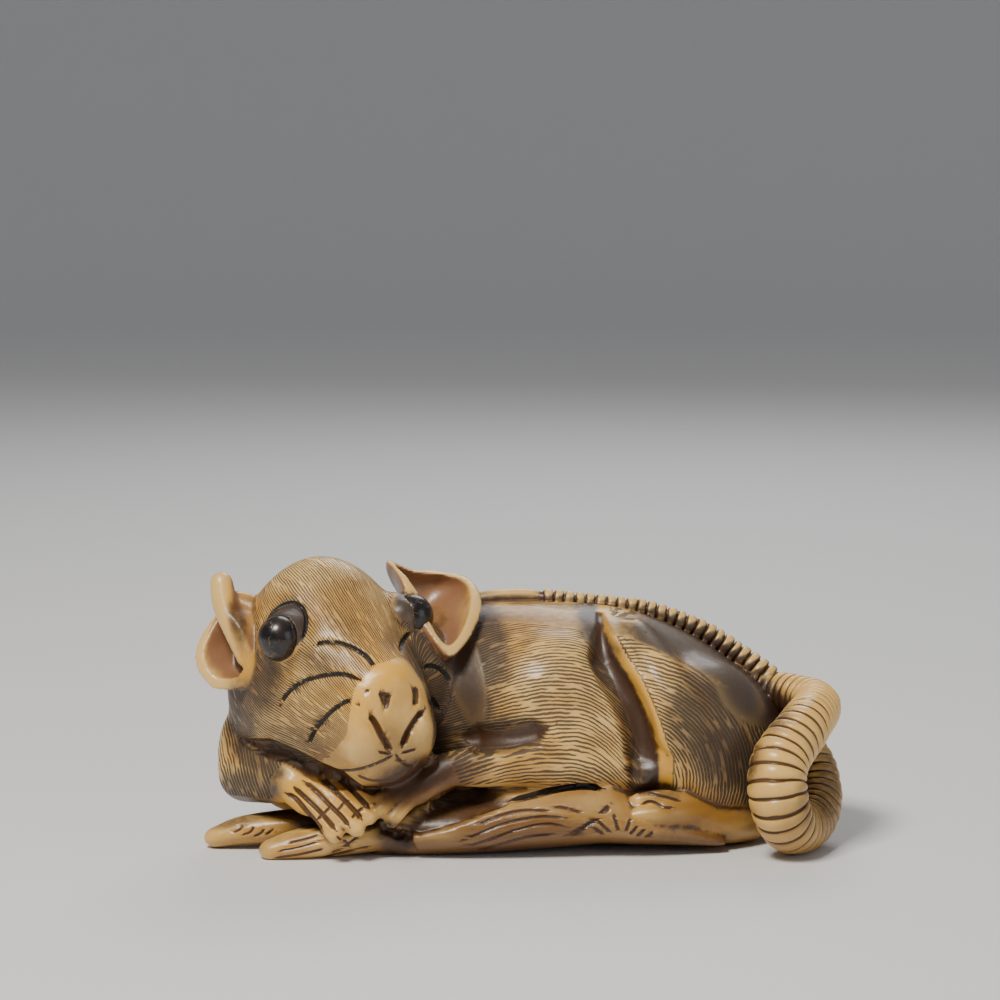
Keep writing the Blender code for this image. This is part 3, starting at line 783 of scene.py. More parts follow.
def off_path(points, path, width, view=FRONT, reach=5.0, taper=0.2):
    """How far each point lies from a path, and its place along the path.

    The distance is a share of half the cut's width: 0 in the middle, 1 at its edge, 3 where it is far off.
    The cut narrows towards both ends.
    """
    axis = np.array(view)
    samples = 40
    dots = np.array([along(path, k / (samples - 1)) for k in range(samples)])
    flat_points = points - (points @ axis)[:, None] * axis
    flat_dots = dots - (dots @ axis)[:, None] * axis
    low = flat_dots.min(0) - FAR_OFF * width
    high = flat_dots.max(0) + FAR_OFF * width
    chosen = np.where(((flat_points > low) & (flat_points < high)).all(1))[0]
    ratio = np.full(len(points), FAR_OFF)
    place = np.zeros(len(points))
    if not len(chosen):
        return ratio, place
    best = np.full(len(chosen), 1e9)
    share = np.zeros(len(chosen))
    for k in range(samples - 1):
        step = dots[k + 1] - dots[k]
        flat_step = step - axis * (step @ axis)
        away = points[chosen] - dots[k]
        t = np.clip(away @ flat_step / max(flat_step @ flat_step, 1e-9), 0, 1)
        away = away - t[:, None] * step
        depth_off = away @ axis
        far = np.linalg.norm(away - depth_off[:, None] * axis, axis=1)
        far = np.where(np.abs(depth_off) < reach, far, 1e9)
        closer = far < best
        best[closer] = far[closer]
        share[closer] = (k + t[closer]) / (samples - 1)
    narrow = np.clip(np.minimum(share, 1 - share) / taper, 0.3, 1)
    ratio[chosen] = np.clip(best / (width * narrow), 0, FAR_OFF)
    place[chosen] = share
    return ratio, place


print("far off:", FAR_OFF, "half widths")

# %% The blade
def under_blade(points, normals, path, width, view=FRONT, reach=5.0, taper=0.2):
    """How deep the blade goes at each point, from 0 to 1."""
    ratio, place = off_path(points, path, width, view, reach, taper)
    facing = np.clip(-(normals @ np.array(view)) * 4, 0, 1)
    fade = np.clip(np.minimum(place, 1 - place) / taper, 0.15, 1)
    return np.clip(1 - ratio**2, 0, 1) ** 1.5 * fade * facing


def press(item, cuts, view=FRONT, reach=5.0, taper=0.2):
    """Pushes grooves into an object. Where two of them cross, the deeper one counts."""
    points, normals = read_mesh(item.data)
    amount = np.zeros(len(points))
    for path, width, depth in cuts:
        blade = under_blade(points, normals, path, width, view, reach, taper)
        amount = np.maximum(amount, depth * blade)
    move(item, points - normals * amount[:, None])


print("tools: under_blade and press")

# %% [markdown]
# ## The deep cuts
# These part thigh from flank, flank from forearm, cheek from forearm, and the fish from its tail. Beside
# the thigh's groove a low crest is raised, because that edge catches the light. The far thigh gets a
# plainer groove of its own.

# %% Deep cuts
GROOVES = {
    "front_of_thigh": (
        1.9,
        1.8,
        [
            (7.0, -5.5, 21.5), (7.1, -7.5, 19.4), (7.8, -9.0, 17.1), (9.1, -10.0, 15.0),
            (10.1, -10.0, 12.5), (10.6, -10.0, 10.1), (10.4, -10.0, 7.9), (9.7, -10.0, 6.4),
        ],
    ),
    "behind_elbow": (1.4, 1.2, [(10.7, -10, 10.4), (10.5, -10, 8.4), (9.6, -10, 6.4)]),
    "above_forearm": (1.6, 0.8, [(-6.5, -10, 10.8), (-2.0, -10, 10.7), (2.6, -10, 12.0)]),
    "fish_tail_root": (0.7, 0.8, [(-13.6, -13, 3.6), (-12.0, -13, 2.4), (-10.0, -13, 0.9)]),
    "cheek_to_forearm": (
        1.0,
        1.2,
        [(-26.6, -6, 9.9), (-22.1, -11, 9.4), (-18.4, -13, 8.0), (-14.5, -14, 6.8)],
    ),
}
THIGH_CREST = [
    (7.9, -5.5, 21.1), (8.3, -7.5, 19.4), (9.3, -9.0, 17.8), (10.5, -10.0, 16.2),
    (11.4, -10.5, 14.3), (12.2, -10.5, 12.3), (12.9, -10.5, 10.2), (13.4, -10.5, 8.8),
]
CREST_HEIGHT = 0.35
CREST_WIDTH = 1.1
FAR_THIGH = [(7.8, 9, 21.0), (8.5, 13, 18.8), (9.8, 15, 16.0), (10.9, 16, 13.0), (12.3, 16, 8.6)]
FAR_VIEW = (0, -1, 0)
FAR_GROOVE = (1.8, 1.1)

press(rat, [(path, width, depth) for width, depth, path in GROOVES.values()])
press(rat, [(FAR_THIGH, *FAR_GROOVE)], FAR_VIEW)
points, normals = read_mesh(rat.data)
swell = CREST_HEIGHT * under_blade(points, normals, THIGH_CREST, CREST_WIDTH)
move(rat, points + normals * swell[:, None])
print("deep cuts:", len(GROOVES) + 1)

# %% [markdown]
# ## Finer cuts
# Whisker furrows, lips, knuckles, the lines on the fish and its fin rays are only a few tenths of a
# millimetre wide. The skin is thinned where it is smooth, and then split again just around these cuts,
# so that the points go where the blade goes. Each path is a list of pixels, where the photograph
# shows the cut, and lies on the plane of its own depth. Cutting them in the mesh, rather than painting
# them, lets the light find their edges.

# %% Cuts of the face
WHISKERS = [
    [(314, 645), (324, 642), (340, 642), (357, 648), (370, 657), (377, 667)],
    [(280, 707), (288, 693), (303, 681), (324, 674), (346, 672), (368, 679)],
    [(309, 745), (317, 728), (330, 712), (343, 701), (357, 695)],
    [(401, 652), (402, 642), (409, 634)],
    [(421, 670), (430, 668), (442, 674), (451, 687)],
    [(430, 698), (438, 714)],
]
LIPS = [
    [(336, 770), (356, 768), (380, 760), (396, 752)],
    [(396, 752), (404, 762), (416, 767)],
    [(380, 749), (392, 752)],
    [(402, 752), (417, 748)],
    [(354, 772), (372, 779), (392, 778), (408, 769)],
]
LIP_SLITS = [
    [(369, 711), (376, 721), (382, 732), (389, 745), (391, 752)],
    [(425, 709), (416, 720), (408, 733), (402, 748)],
]
NOSTRILS = [
    [(381, 690), (384, 698), (387, 707)],
    [(390, 692), (388, 699), (387, 707)],
    [(383, 693), (389, 695)],
    [(415, 687), (416, 697), (415, 706)],
]
EYELID = [(266, 622), (273, 612), (283, 605), (293, 603), (302, 607), (307, 617), (307, 630), (303, 641)]
print("whisker furrows:", len(WHISKERS), "lip cuts:", len(LIPS) + len(LIP_SLITS))

# %% Cuts of the paw
FINGERS = [
    [(284, 793), (296, 799), (307, 811), (317, 822), (324, 830)],
    [(291, 785), (304, 796), (318, 808), (330, 820), (338, 829)],
    [(301, 780), (316, 791), (330, 804), (343, 816), (351, 826)],
    [(315, 777), (331, 788), (345, 800), (357, 812), (363, 819)],
    [(333, 777), (348, 787), (360, 798), (371, 809)],
]
KNUCKLES = [
    [(317, 819), (326, 811), (333, 804)],
    [(337, 811), (344, 803), (350, 800)],
    [(352, 817), (358, 811), (364, 806)],
    [(641, 806), (652, 803), (664, 808), (676, 809)],
    [(636, 795), (650, 795), (668, 799), (684, 804)],
]
print("between the fingers:", len(FINGERS), "over knuckles:", len(KNUCKLES))

# %% Cuts of the fish
FISH_LINES = [
    [(456, 842), (478, 833), (506, 822), (540, 816), (574, 818)],
    [(462, 848), (486, 840), (516, 829), (546, 823), (570, 827)],
    [(476, 853), (500, 845), (528, 836), (558, 833)],
    [(470, 829), (496, 816), (524, 810), (556, 811)],
    [(550, 806), (566, 808), (584, 813)],
]
FISH_STAR = [
    [(619, 833), (616, 823), (613, 812)],
    [(625, 832), (628, 824), (631, 817)],
    [(629, 834), (634, 829), (639, 823)],
    [(636, 836), (641, 832), (645, 827)],
    [(645, 838), (649, 835), (653, 831)],
    [(611, 833), (604, 826), (597, 819)],
    [(604, 835), (598, 830), (592, 826)],
]
FIN_RAYS = [
    [(274, 857), (300, 853), (330, 846)],
    [(278, 850), (300, 846), (326, 838)],
    [(288, 842), (306, 838), (322, 833)],
    [(328, 855), (345, 845), (361, 833)],
    [(340, 858), (362, 855), (385, 852)],
    [(322, 857), (347, 851), (373, 845)],
    [(338, 832), (345, 839), (352, 848)],
    [(229, 836), (237, 833), (241, 828)],
    [(239, 839), (248, 835), (252, 829)],
    [(251, 840), (259, 836), (263, 830)],
    [(263, 838), (269, 834), (272, 829)],
]
GILL = [(611, 803), (600, 814), (586, 825), (566, 838)]

# The leaf-shaped hollow in the fish, and the line where the arm lies on it
FISH_HOLLOW = [
    (396, 837), (408, 822), (422, 808), (438, 797), (457, 789), (480, 791), (515, 799),
    (482, 813), (446, 828), (414, 838),
]
HOLLOW_DEPTH = 0.8
ARM_LINE = [(508, 801), (530, 796), (556, 790), (585, 787), (606, 790)]
PITS = [[(365, 691), (370, 689)], [(357, 702), (361, 704)], [(354, 583), (357, 584)]]
print("fish lines:", len(FISH_LINES), "star:", len(FISH_STAR), "rays:", len(FIN_RAYS))

# %% All the fine cuts together
# Each set of cuts: its paths, the depth of its plane, half its width and how deep it goes
FINE_CUTS = [
    (WHISKERS, -11.5, 0.25, 0.3),
    (LIPS, -14.0, 0.17, 0.22),
    (LIP_SLITS, -15.0, 0.36, 0.6),
    (NOSTRILS, -15.0, 0.3, 0.45),
    (PITS, -15.0, 0.2, 0.15),
    ([EYELID], -10.5, 0.22, 0.25),
    (FINGERS, -13.0, 0.3, 0.35),
    (KNUCKLES, -13.0, 0.18, 0.22),
    (FISH_LINES, -12.5, 0.17, 0.2),
    (FISH_STAR, -12.0, 0.2, 0.22),
    (FIN_RAYS, -12.0, 0.15, 0.16),
    ([GILL], -12.0, 0.32, 0.4),
    ([ARM_LINE], -11.5, 0.3, 0.7),
]
print("sets of fine cuts:", len(FINE_CUTS))

# %% Inside an outline
def inside_outline(across, down, outline, soft):
    """1 inside an outline of pixels and 0 outside it, with a soft edge that many pixels wide."""
    nearest = np.full(len(across), 1e9)
    inside = np.zeros(len(across), bool)
    for (ax, ay), (bx, by) in zip(outline, outline[1:] + outline[:1]):
        t = ((across - ax) * (bx - ax) + (down - ay) * (by - ay)) / ((bx - ax) ** 2 + (by - ay) ** 2)
        t = np.clip(t, 0, 1)
        gap = np.hypot(across - ax - t * (bx - ax), down - ay - t * (by - ay))
        nearest = np.minimum(nearest, gap)
        if ay != by:
            crosses = (ay > down) != (by > down)
            inside ^= crosses & (across < ax + (down - ay) * (bx - ax) / (by - ay))
    return rise(-soft, soft, np.where(inside, nearest, -nearest))

# %% Make room for the finer cuts and make them
LIGHT_SKIN = 82000
ROOM = 0.3
FINE_TAPER = 0.12
FINE_REACH = 6.0
FISH_FRONT = -7
FISH_EDGE = 4.0


def fine_paths():
    """Each fine path in space, with half its width and its depth."""
    for paths, depth, width, deep in FINE_CUTS:
        for path in paths:
            yield [tuple(at_pixel(px, py, depth)) for px, py in path], width, deep


thin = rat.modifiers.new("thin", "DECIMATE")
thin.ratio = LIGHT_SKIN / (2 * len(rat.data.polygons))
apply_modifiers(rat)

points, normals = read_mesh(rat.data)
close = np.zeros(len(points))
for path, width, deep in fine_paths():
    wide_blade = under_blade(points, normals, path, width + ROOM, AHEAD, FINE_REACH, FINE_TAPER)
    close = np.maximum(close, wide_blade)
bm = bmesh.new()
bm.from_mesh(rat.data)
bm.verts.ensure_lookup_table()
chosen = {v for v, near in zip(bm.verts, close) if near > 0}
edges = [e for e in bm.edges if e.verts[0] in chosen and e.verts[1] in chosen]
bmesh.ops.subdivide_edges(bm, edges=edges, cuts=2, use_grid_fill=True)
bmesh.ops.triangulate(bm, faces=[f for f in bm.faces if len(f.verts) > 3])
bm.to_mesh(rat.data)
bm.free()
press(rat, fine_paths(), AHEAD, FINE_REACH, FINE_TAPER)
points, normals = read_mesh(rat.data)
dished = inside_outline(*pixels_of(points), FISH_HOLLOW, FISH_EDGE)
dished *= (points[:, 1] < FISH_FRONT) * (normals[:, 1] < 0)
move(rat, points - normals * (HOLLOW_DEPTH * dished)[:, None])
print("skin after the finer cuts:", len(rat.data.polygons), "triangles")

# %% [markdown]
# ## Tail and back ridge
# The tail is a tube cut round by a narrow groove at every pitch. A hand doesn't cut them all alike, so
# each groove drifts a little in place and depth. The ridge is a row of small beads between notches.
# Both are united with the body by a Boolean, which leaves one closed surface.

# %% Routes of tail and ridge
TAIL_ROUTE = [
    (19.5, 4.2, 14.2, 1.6),
    (22.6, 3.6, 12.8, 1.8),
    (25.4, 1.6, 12.5, 2.0),
    (27.3, -2.2, 12.3, 2.15),
    (25.6, -8.4, 11.6, 2.35),
    (23.0, -12.2, 8.9, 2.6),
    (22.8, -13.4, 5.8, 2.65),
    (24.0, -11.8, 3.0, 2.5),
    (26.1, -8.0, 2.4, 2.3),
    (27.4, -4.6, 4.2, 2.1),
    (27.1, -1.6, 7.0, 1.8),
    (25.2, 1.0, 9.0, 1.5),
    (22.2, 3.0, 9.2, 1.2),
]
RIDGE_ROUTE = [
    (-8.5, 2.0, 20.7, 0.7),
    (-3.5, 2.1, 21.75, 0.8),
    (1.4, 2.5, 21.75, 0.85),
    (7.1, 3.1, 21.1, 0.85),
    (11.9, 3.8, 20.3, 0.9),
    (16.8, 4.2, 18.35, 1.0),
    (20.4, 4.2, 15.9, 1.15),
    (23.4, 3.4, 13.6, 1.4),
]

print("route points:", len(TAIL_ROUTE), "and", len(RIDGE_ROUTE))

# %% Rings
TAIL_RING_PITCH = 1.0
TAIL_RING_DEPTH = 0.24
TAIL_SIDES = 36
BEAD_PITCH = 1.02
BEAD_DEPTH = 0.3
BEAD_SIDES = 16
RIDGE_PLAIN = 0.3
TAIL_STOPS = (0.0, 0.06, 0.13, 0.24, 0.5, 0.76, 0.87, 0.94)
BEAD_STOPS = (0.0, 0.07, 0.15, 0.28, 0.5, 0.72, 0.85, 0.93)
TAIL_SHARP = 0.11
BEAD_SHARP = 0.12
TAIL_SWELL = 0.09
BEAD_SWELL = 0.08
ROUTE_STEPS = 600
HAND_DRIFT = 0.16


def hand_noise(centre, out):
    """A slow noise over a tube's skin: where the hand cut a little early or late."""
    return drift.noise(Vector(centre * 0.9 + out * 0.8))


def groove_shape(share, sharp):
    """1 in the middle of a groove, 0 between two grooves."""
    return math.exp(-((min(share, 1 - share) / sharp) ** 2))


print("ring pitch:", TAIL_RING_PITCH, "and", BEAD_PITCH, "mm")

# %% Ringed tubes
def ringed_tube(name, route, pitch, depth, sides, stops, sharp, swell, plain=0.0):
    """A tube with a groove at every pitch after a plain share of its length."""
    fine = [along(route, k / ROUTE_STEPS) for k in range(ROUTE_STEPS + 1)]
    spots = [Vector(row[:3]) for row in fine]
    reach = [0.0]
    for a, b in zip(spots, spots[1:]):
        reach.append(reach[-1] + (b - a).length)
    start = plain * reach[-1]
    count = round((reach[-1] - start) / pitch)
    width = (reach[-1] - start) / count
    places = [(start * k / 8, None) for k in range(8)] if plain else []
    for k in range(count):
        places += [(start + (k + share) * width, share) for share in stops]
    places.append((reach[-1], 0.0))
    rings = []
    up = Vector((0, 0, 1))
    for place, share in places:
        i = min(max(int(np.searchsorted(reach, place)), 1), len(spots) - 2)
        near = (place - reach[i - 1]) / max(reach[i] - reach[i - 1], 1e-9)
        centre = spots[i - 1].lerp(spots[i], min(near, 1.0))
        ahead = (spots[i + 1] - spots[i - 1]).normalized()
        up = (up - ahead * up.dot(ahead)).normalized()
        side = ahead.cross(up)
        ring = []
        for n in range(sides):
            angle = 2 * math.pi * n / sides
            out = side * math.cos(angle) + up * math.sin(angle)
            uneven = hand_noise(centre, out)
            dip = 0.0
            if share is not None:
                dip = depth * groove_shape(share, sharp) * (1 + 0.5 * uneven)
                dip -= swell * math.sin(math.pi * share)
            lean = ahead * uneven * HAND_DRIFT * width
            ring.append(centre + lean + out * (fine[i][3] - dip + 0.06 * uneven))
        rings.append(ring)
    return skin(name, rings)


tail = ringed_tube(
    "tail", TAIL_ROUTE, TAIL_RING_PITCH, TAIL_RING_DEPTH, TAIL_SIDES, TAIL_STOPS, TAIL_SHARP, TAIL_SWELL
)
ridge = ringed_tube(
    "ridge", RIDGE_ROUTE, BEAD_PITCH, BEAD_DEPTH, BEAD_SIDES, BEAD_STOPS, BEAD_SHARP, BEAD_SWELL,
    RIDGE_PLAIN,
)
forms["tail"] = tree_of([tail])
forms["ridge"] = tree_of([ridge])
cut(rat, tail, "UNION")
cut(rat, ridge, "UNION")
print("with tail and ridge:", len(rat.data.polygons), "faces")

# %% [markdown]
# ## Sockets, cord channel and underside
# The eyes are let into round sockets. Two holes in the belly meet inside, for the cord, and the underside
# is cut flat, so that the toggle stands by its own weight. These are true cuts, so they are Booleans.

# %% Sockets, channel and flat underside
EYE_SIDE = 7.1
EYE_AHEAD = 2.7
EYE_HEIGHT = 20.8
EYE_TURN = math.radians(52)
EYE_RADII = (1.9, 1.9, 2.05)
CORD_RADIUS = 1.7
CORD_SPAN = 9.5
CORD_DEPTH = 5.5
CORD_POSITION = (-1.0, 5.0)
EYE_FIT = 0.03
BIG = 50.0


def eye_frame(side):
    """The frame of an eye, its x pointing out of the head. side is 1 for the left, -1 for the right."""
    place = Matrix.Translation((side * EYE_SIDE, EYE_AHEAD, EYE_HEIGHT))
    return head_frame() @ place @ Matrix.Rotation(math.radians(90) - side * EYE_TURN, 4, "Z")


def cord_channel():
    """A round tunnel that enters the underside, turns along the body and comes out again."""
    x, y = CORD_POSITION
    half = CORD_SPAN / 2
    turn = CORD_RADIUS * 1.2
    below = -CORD_RADIUS
    corners = [
        (x - half, below),
        (x - half, CORD_DEPTH - turn),
        (x - half + turn, CORD_DEPTH),
        (x + half - turn, CORD_DEPTH),
        (x + half, CORD_DEPTH - turn),
        (x + half, below),
    ]
    return limb("cord_channel", [(a, y, z, CORD_RADIUS) for a, z in corners], steps=3, sides=14)


eye_frames = {"eye_left": eye_frame(1), "eye_right": eye_frame(-1)}
for place in eye_frames.values():
    cut(rat, ball("socket", place, [radius + EYE_FIT for radius in EYE_RADII], 5))
cut(rat, cord_channel())
cut(rat, box("below", (-BIG, -BIG, -BIG), (BIG, BIG, 0)))
rat.data.shade_smooth()
print("finished skin:", len(rat.data.polygons), "faces")

# %% [markdown]
# ## Reading the surface
# Ivory is stained all over and then rubbed down, so colour follows the form: it stays in cuts and
# hollows and goes from what the thumb reaches. The next cells measure each point of the skin: which
# form it belongs to, how hollow it lies, and how much of the sky it sees.

# %% Which form each point belongs to
points, normals = read_mesh(rat.data)
names = list(forms)
spots = [Vector(p) * MM for p in points]
gaps = np.array([[tree.find_nearest(p)[3] / MM for p in spots] for tree in forms.values()])
owner = gaps.argmin(0)


def of_form(name, soft=0.3):
    """1 on the points of a form, falling to 0 beyond its border."""
    k = names.index(name)
    others = np.delete(gaps, k, 0).min(0)
    return rise(-soft, soft, others - gaps[k])


part = {name: of_form(name) for name in names}
print({name: int((owner == k).sum()) for k, name in enumerate(names)})

# %% How hollow each point lies
edges = np.empty(len(rat.data.edges) * 2, np.int32)
rat.data.edges.foreach_get("vertices", edges)
edges = edges.reshape(-1, 2)
ends = np.concatenate([edges[:, 0], edges[:, 1]])
others = np.concatenate([edges[:, 1], edges[:, 0]])
degree = np.maximum(np.bincount(ends, minlength=len(points)), 1)


def blur(values, rounds):
    """Spreads a value over its neighbours on the skin."""
    for _ in range(rounds):
        around = np.bincount(ends, weights=values[others], minlength=len(values)) / degree
        values = 0.5 * values + 0.5 * around
    return values


def hollowness(rounds):
    """How far, in millimetres, a smoothed skin would lie above each point."""
    smooth = np.stack([blur(points[:, i], rounds) for i in range(3)], 1)
    return ((smooth - points) * normals).sum(1)


FINE_ROUNDS = 8
BROAD_ROUNDS = 90
fine_hollow = hollowness(FINE_ROUNDS)
broad_hollow = hollowness(BROAD_ROUNDS)
print("hollow, fine and broad:", round(fine_hollow.max(), 3), round(broad_hollow.max(), 3))

# %% How much is shut in
RAYS = 30
SHADE_REACH = 6.0
RAY_LEAN = 0.2
RAY_START = 0.05
SHADE_BLUR = 6


def ray_fan(count):
    """Directions spread evenly over a ball."""
    k = np.arange(count) + 0.5
    high = 1 - 2 * k / count
    angle = math.pi * (1 + 5**0.5) * k
    flat = np.sqrt(1 - high**2)
    return np.stack([flat * np.cos(angle), flat * np.sin(angle), high], 1)


skin_tree = tree_of([rat])
fan = [(Vector(d), np.array(d)) for d in ray_fan(RAYS)]
lean = normals @ np.array([d for _, d in fan]).T
shut = np.zeros(len(points))
total = np.zeros(len(points))
for k, (ray, _) in enumerate(fan):
    for i in np.where(lean[:, k] > RAY_LEAN)[0]:
        start = spots[i] + Vector(normals[i]) * (RAY_START * MM)
        total[i] += lean[i, k]
        if skin_tree.ray_cast(start, ray, SHADE_REACH * MM)[0] is not None:
            shut[i] += lean[i, k]
shut = blur(shut / np.maximum(total, 1e-9), SHADE_BLUR)
print("shut in, mean and most:", round(shut.mean(), 3), round(shut.max(), 3))

# %% [markdown]
# ## Engraved hair
# The hair is a field of fine parallel grooves. They aren't modelled one by one: every point of the skin
# gets the number of the hair line that runs through it, as a smooth value, and the material draws a
# groove wherever that value passes a whole number. Each part of the body has its own rule for the
# number. On the head the lines run like meridians from the mouth to the back of the crown, on the flank
# they follow the body and bend down before the thigh, and on the haunch they arch round the knee.

# %% Hair lines on head, flank, haunch and arm
HAIR_PITCH = 0.3
MOUTH = np.array((0.6, 11.3, 11.2))
CROWN = np.array((-0.5, -9.0, 24.0))
HEAD_LINES = (26.0, 10.0)
FLANK_RADIUS = 11.5
FLANK_AXIS = 10.0
FLANK_BEND = 0.1
KNEE = (9.7, 6.6)
ARM_TILT = (0.94, 0.35)

x, y, z = points.T
in_head = np.linalg.inv(np.array(head_frame()))
head_points = points @ in_head[:3, :3].T + in_head[:3, 3]
pole = (CROWN - MOUTH) / np.linalg.norm(CROWN - MOUTH)
sideways = np.cross(pole, (0, 0, 1))
sideways /= np.linalg.norm(sideways)
upwards = np.cross(sideways, pole)
from_mouth = head_points - MOUTH
turn = np.arctan2(from_mouth @ sideways, from_mouth @ upwards)
head_line = HEAD_LINES[0] * turn + HEAD_LINES[1] * (turn - np.sin(turn))
head_run = from_mouth @ pole

middle = 2.0 + 0.09 * (x + 8.5)
around = np.arctan2(middle - y, z - FLANK_AXIS)
bend = FLANK_BEND * np.maximum(x - 4, 0) ** 2 + 0.02 * np.maximum(2 - x, 0) ** 2
flank_line = (np.sign(around) * bend - around * FLANK_RADIUS) / HAIR_PITCH

haunch_line = np.hypot(x - KNEE[0], z - KNEE[1]) / HAIR_PITCH
haunch_run = np.arctan2(z - KNEE[1], x - KNEE[0]) * 8
arm_line = (ARM_TILT[0] * x + ARM_TILT[1] * z) / HAIR_PITCH
arm_run = ARM_TILT[1] * x - ARM_TILT[0] * z

# The thigh's crest parts flank hair from haunch hair
near_side = y < middle
near_crest = np.interp(z, *zip(*[(row[2], row[0]) for row in reversed(THIGH_CREST)]))
far_crest = np.interp(z, *zip(*[(row[2], row[0]) for row in reversed(FAR_THIGH)]))
crest = np.where(near_side, near_crest, far_crest)
on_haunch = x > crest
body = owner == names.index("body")
on_head = owner == names.index("head")
on_arm = owner == names.index("far_arm")
fields = [on_head, on_arm, on_haunch]
hair_line = np.select(fields, [head_line, arm_line, haunch_line], flank_line)
hair_run = np.select(fields, [head_run, arm_run, haunch_run], x)
print("hair lines from", round(hair_line.min()), "to", round(hair_line.max()))

# %% [markdown]
# ## Where the hair stops
# Hair stops at the muzzle, round the eyes, on paws, ears, tail and fish, and underneath. It also fades
# where two fields of lines meet, because the value jumps there, and in the smooth bands beside the
# thigh's crest and above the forearm. Each of these is a mask, 1 where hair may be and 0 where it may
# not, and the masks are multiplied.

# %% Which points face the viewer
SIGHT = np.array(AHEAD)
NORMAL_BLUR = 12

across, down = pixels_of(points)
soft_normals = np.stack([blur(normals[:, i], NORMAL_BLUR) for i in range(3)], 1)
soft_normals /= np.linalg.norm(soft_normals, axis=1)[:, None]
faces_viewer = rise(-0.05, 0.15, -(soft_normals @ SIGHT))
print("share that faces the viewer:", round(faces_viewer.mean(), 2))

# %% Muzzle, lid and eyes
MUZZLE = [
    (375, 665), (390, 660), (403, 657), (413, 668), (422, 682), (430, 706), (434, 730), (431, 750),
    (424, 765), (412, 782), (380, 795), (340, 788), (312, 768), (329, 757), (337, 748), (347, 734),
    (350, 712), (353, 694), (358, 683), (366, 675),
]
BELOW_LID = [(290, 650), (266, 645)]

muzzle = inside_outline(across, down, MUZZLE, 2.5) * part["head"] * faces_viewer
lid = inside_outline(across, down, EYELID + BELOW_LID, 1.0) * part["head"]
eye_gap = np.full(len(points), 1e9)
for place in eye_frames.values():
    eye_gap = np.minimum(eye_gap, np.linalg.norm(points - np.array(place.translation), axis=1))
print("muzzle share:", round(muzzle.mean(), 3))

# %% Where the hair is
FURRED = [names.index(name) for name in ("body", "head", "far_arm")]

bare_forms = np.delete(gaps, FURRED, 0).min(0)
hair = rise(0.0, 0.6, bare_forms - gaps[FURRED].min(0)) * (1 - muzzle) * (1 - lid)
hair = hair * rise(2.0, 2.4, eye_gap) * rise(-0.85, -0.5, normals[:, 2])
first_two = np.sort(gaps[FURRED], 0)[:2]
hair *= rise(0.0, 0.25, first_two[1] - first_two[0])

off_crest = x - crest
above_foot = rise(4.5, 6.0, z) * part["body"]
near_band = rise(-3.4, -2.4, off_crest) * (1 - rise(-0.15, 0.1, off_crest)) * above_foot
far_band = rise(-0.9, -0.5, off_crest) * (1 - rise(0.3, 0.6, off_crest))
hair *= 1 - np.where(near_side, near_band, far_band)

ARM_BAND = 1.2
above_arm = under_blade(points, normals, GROOVES["above_forearm"][2], ARM_BAND)
hair *= 1 - 0.9 * rise(0.1, 0.7, above_arm)
print("hairy share:", round(hair.mean(), 2))

# %% [markdown]
# ## Stain, wear, painted shade and highlight
# Cuts hold the most stain. Broad patches, smoky or brown, lie where the photograph shows them: some are
# stain, and some are painted shadow and shade, such as the head's shadow on the flank, and the shade under
# the chin, along the fish's underside and on the tail's back strand. Amber lies on the nose and the
# fingers. On the far side a few soft patches, the hollows and the form decide. A painted picture would be
# simpler, but it would be
# tied to one view: measures on the points go with the form.

# %% How far each point is from a cut
SHADE_WIDTH = 1.3
HOLLOW_EDGE = 2.0
INKED = (WHISKERS, [EYELID], [ARM_LINE])

groove_shade = np.zeros(len(points))
for width, depth, path in GROOVES.values():
    shade = under_blade(points, normals, path, width * SHADE_WIDTH)
    groove_shade = np.maximum(groove_shade, shade)
cut_off = np.full(len(points), FAR_OFF)
ink_off = np.full(len(points), FAR_OFF)
for paths, depth, width, deep in FINE_CUTS:
    for path in paths:
        path = [tuple(at_pixel(px, py, depth)) for px, py in path]
        ratio, place = off_path(points, path, width, AHEAD, FINE_REACH, FINE_TAPER)
        ratio = np.where(faces_viewer > 0, ratio, FAR_OFF)
        if paths in INKED:
            ink_off = np.minimum(ink_off, ratio)
        else:
            cut_off = np.minimum(cut_off, ratio)
# The fish's hollow is darkened: stain and painted shade.
hollow_stain_and_shade = inside_outline(across, down, FISH_HOLLOW, HOLLOW_EDGE) * (points[:, 1] < FISH_FRONT)
print("points in fine cuts:", int((np.minimum(cut_off, ink_off) < 1).sum()))

# %% Where the rings of tail and ridge lie
def along_tube(route, pitch, plain, name):
    """For each point of a ringed tube, its place within the pitch. Other points get 0.5."""
    fine = np.array([along(route, k / ROUTE_STEPS)[:3] for k in range(ROUTE_STEPS + 1)])
    reach = np.concatenate([[0], np.cumsum(np.linalg.norm(np.diff(fine, axis=0), axis=1))])
    start = plain * reach[-1]
    width = (reach[-1] - start) / round((reach[-1] - start) / pitch)
    share = np.full(len(points), 0.5)
    mine = np.where(owner == names.index(name))[0]
    for i in mine:
        k = int(((fine - points[i]) ** 2).sum(1).argmin())
        k = min(max(k, 1), len(fine) - 2)
        ahead = fine[k + 1] - fine[k - 1]
        ahead /= np.linalg.norm(ahead)
        off = points[i] - fine[k]
        place = reach[k] + off @ ahead
        out = off - ahead * (off @ ahead)
        out /= max(np.linalg.norm(out), 1e-9)
        centre = fine[k] + ahead * (off @ ahead)
        place -= hand_noise(centre, out) * HAND_DRIFT * width
        if place > start:
            share[i] = (place - start) / width % 1.0
    return share


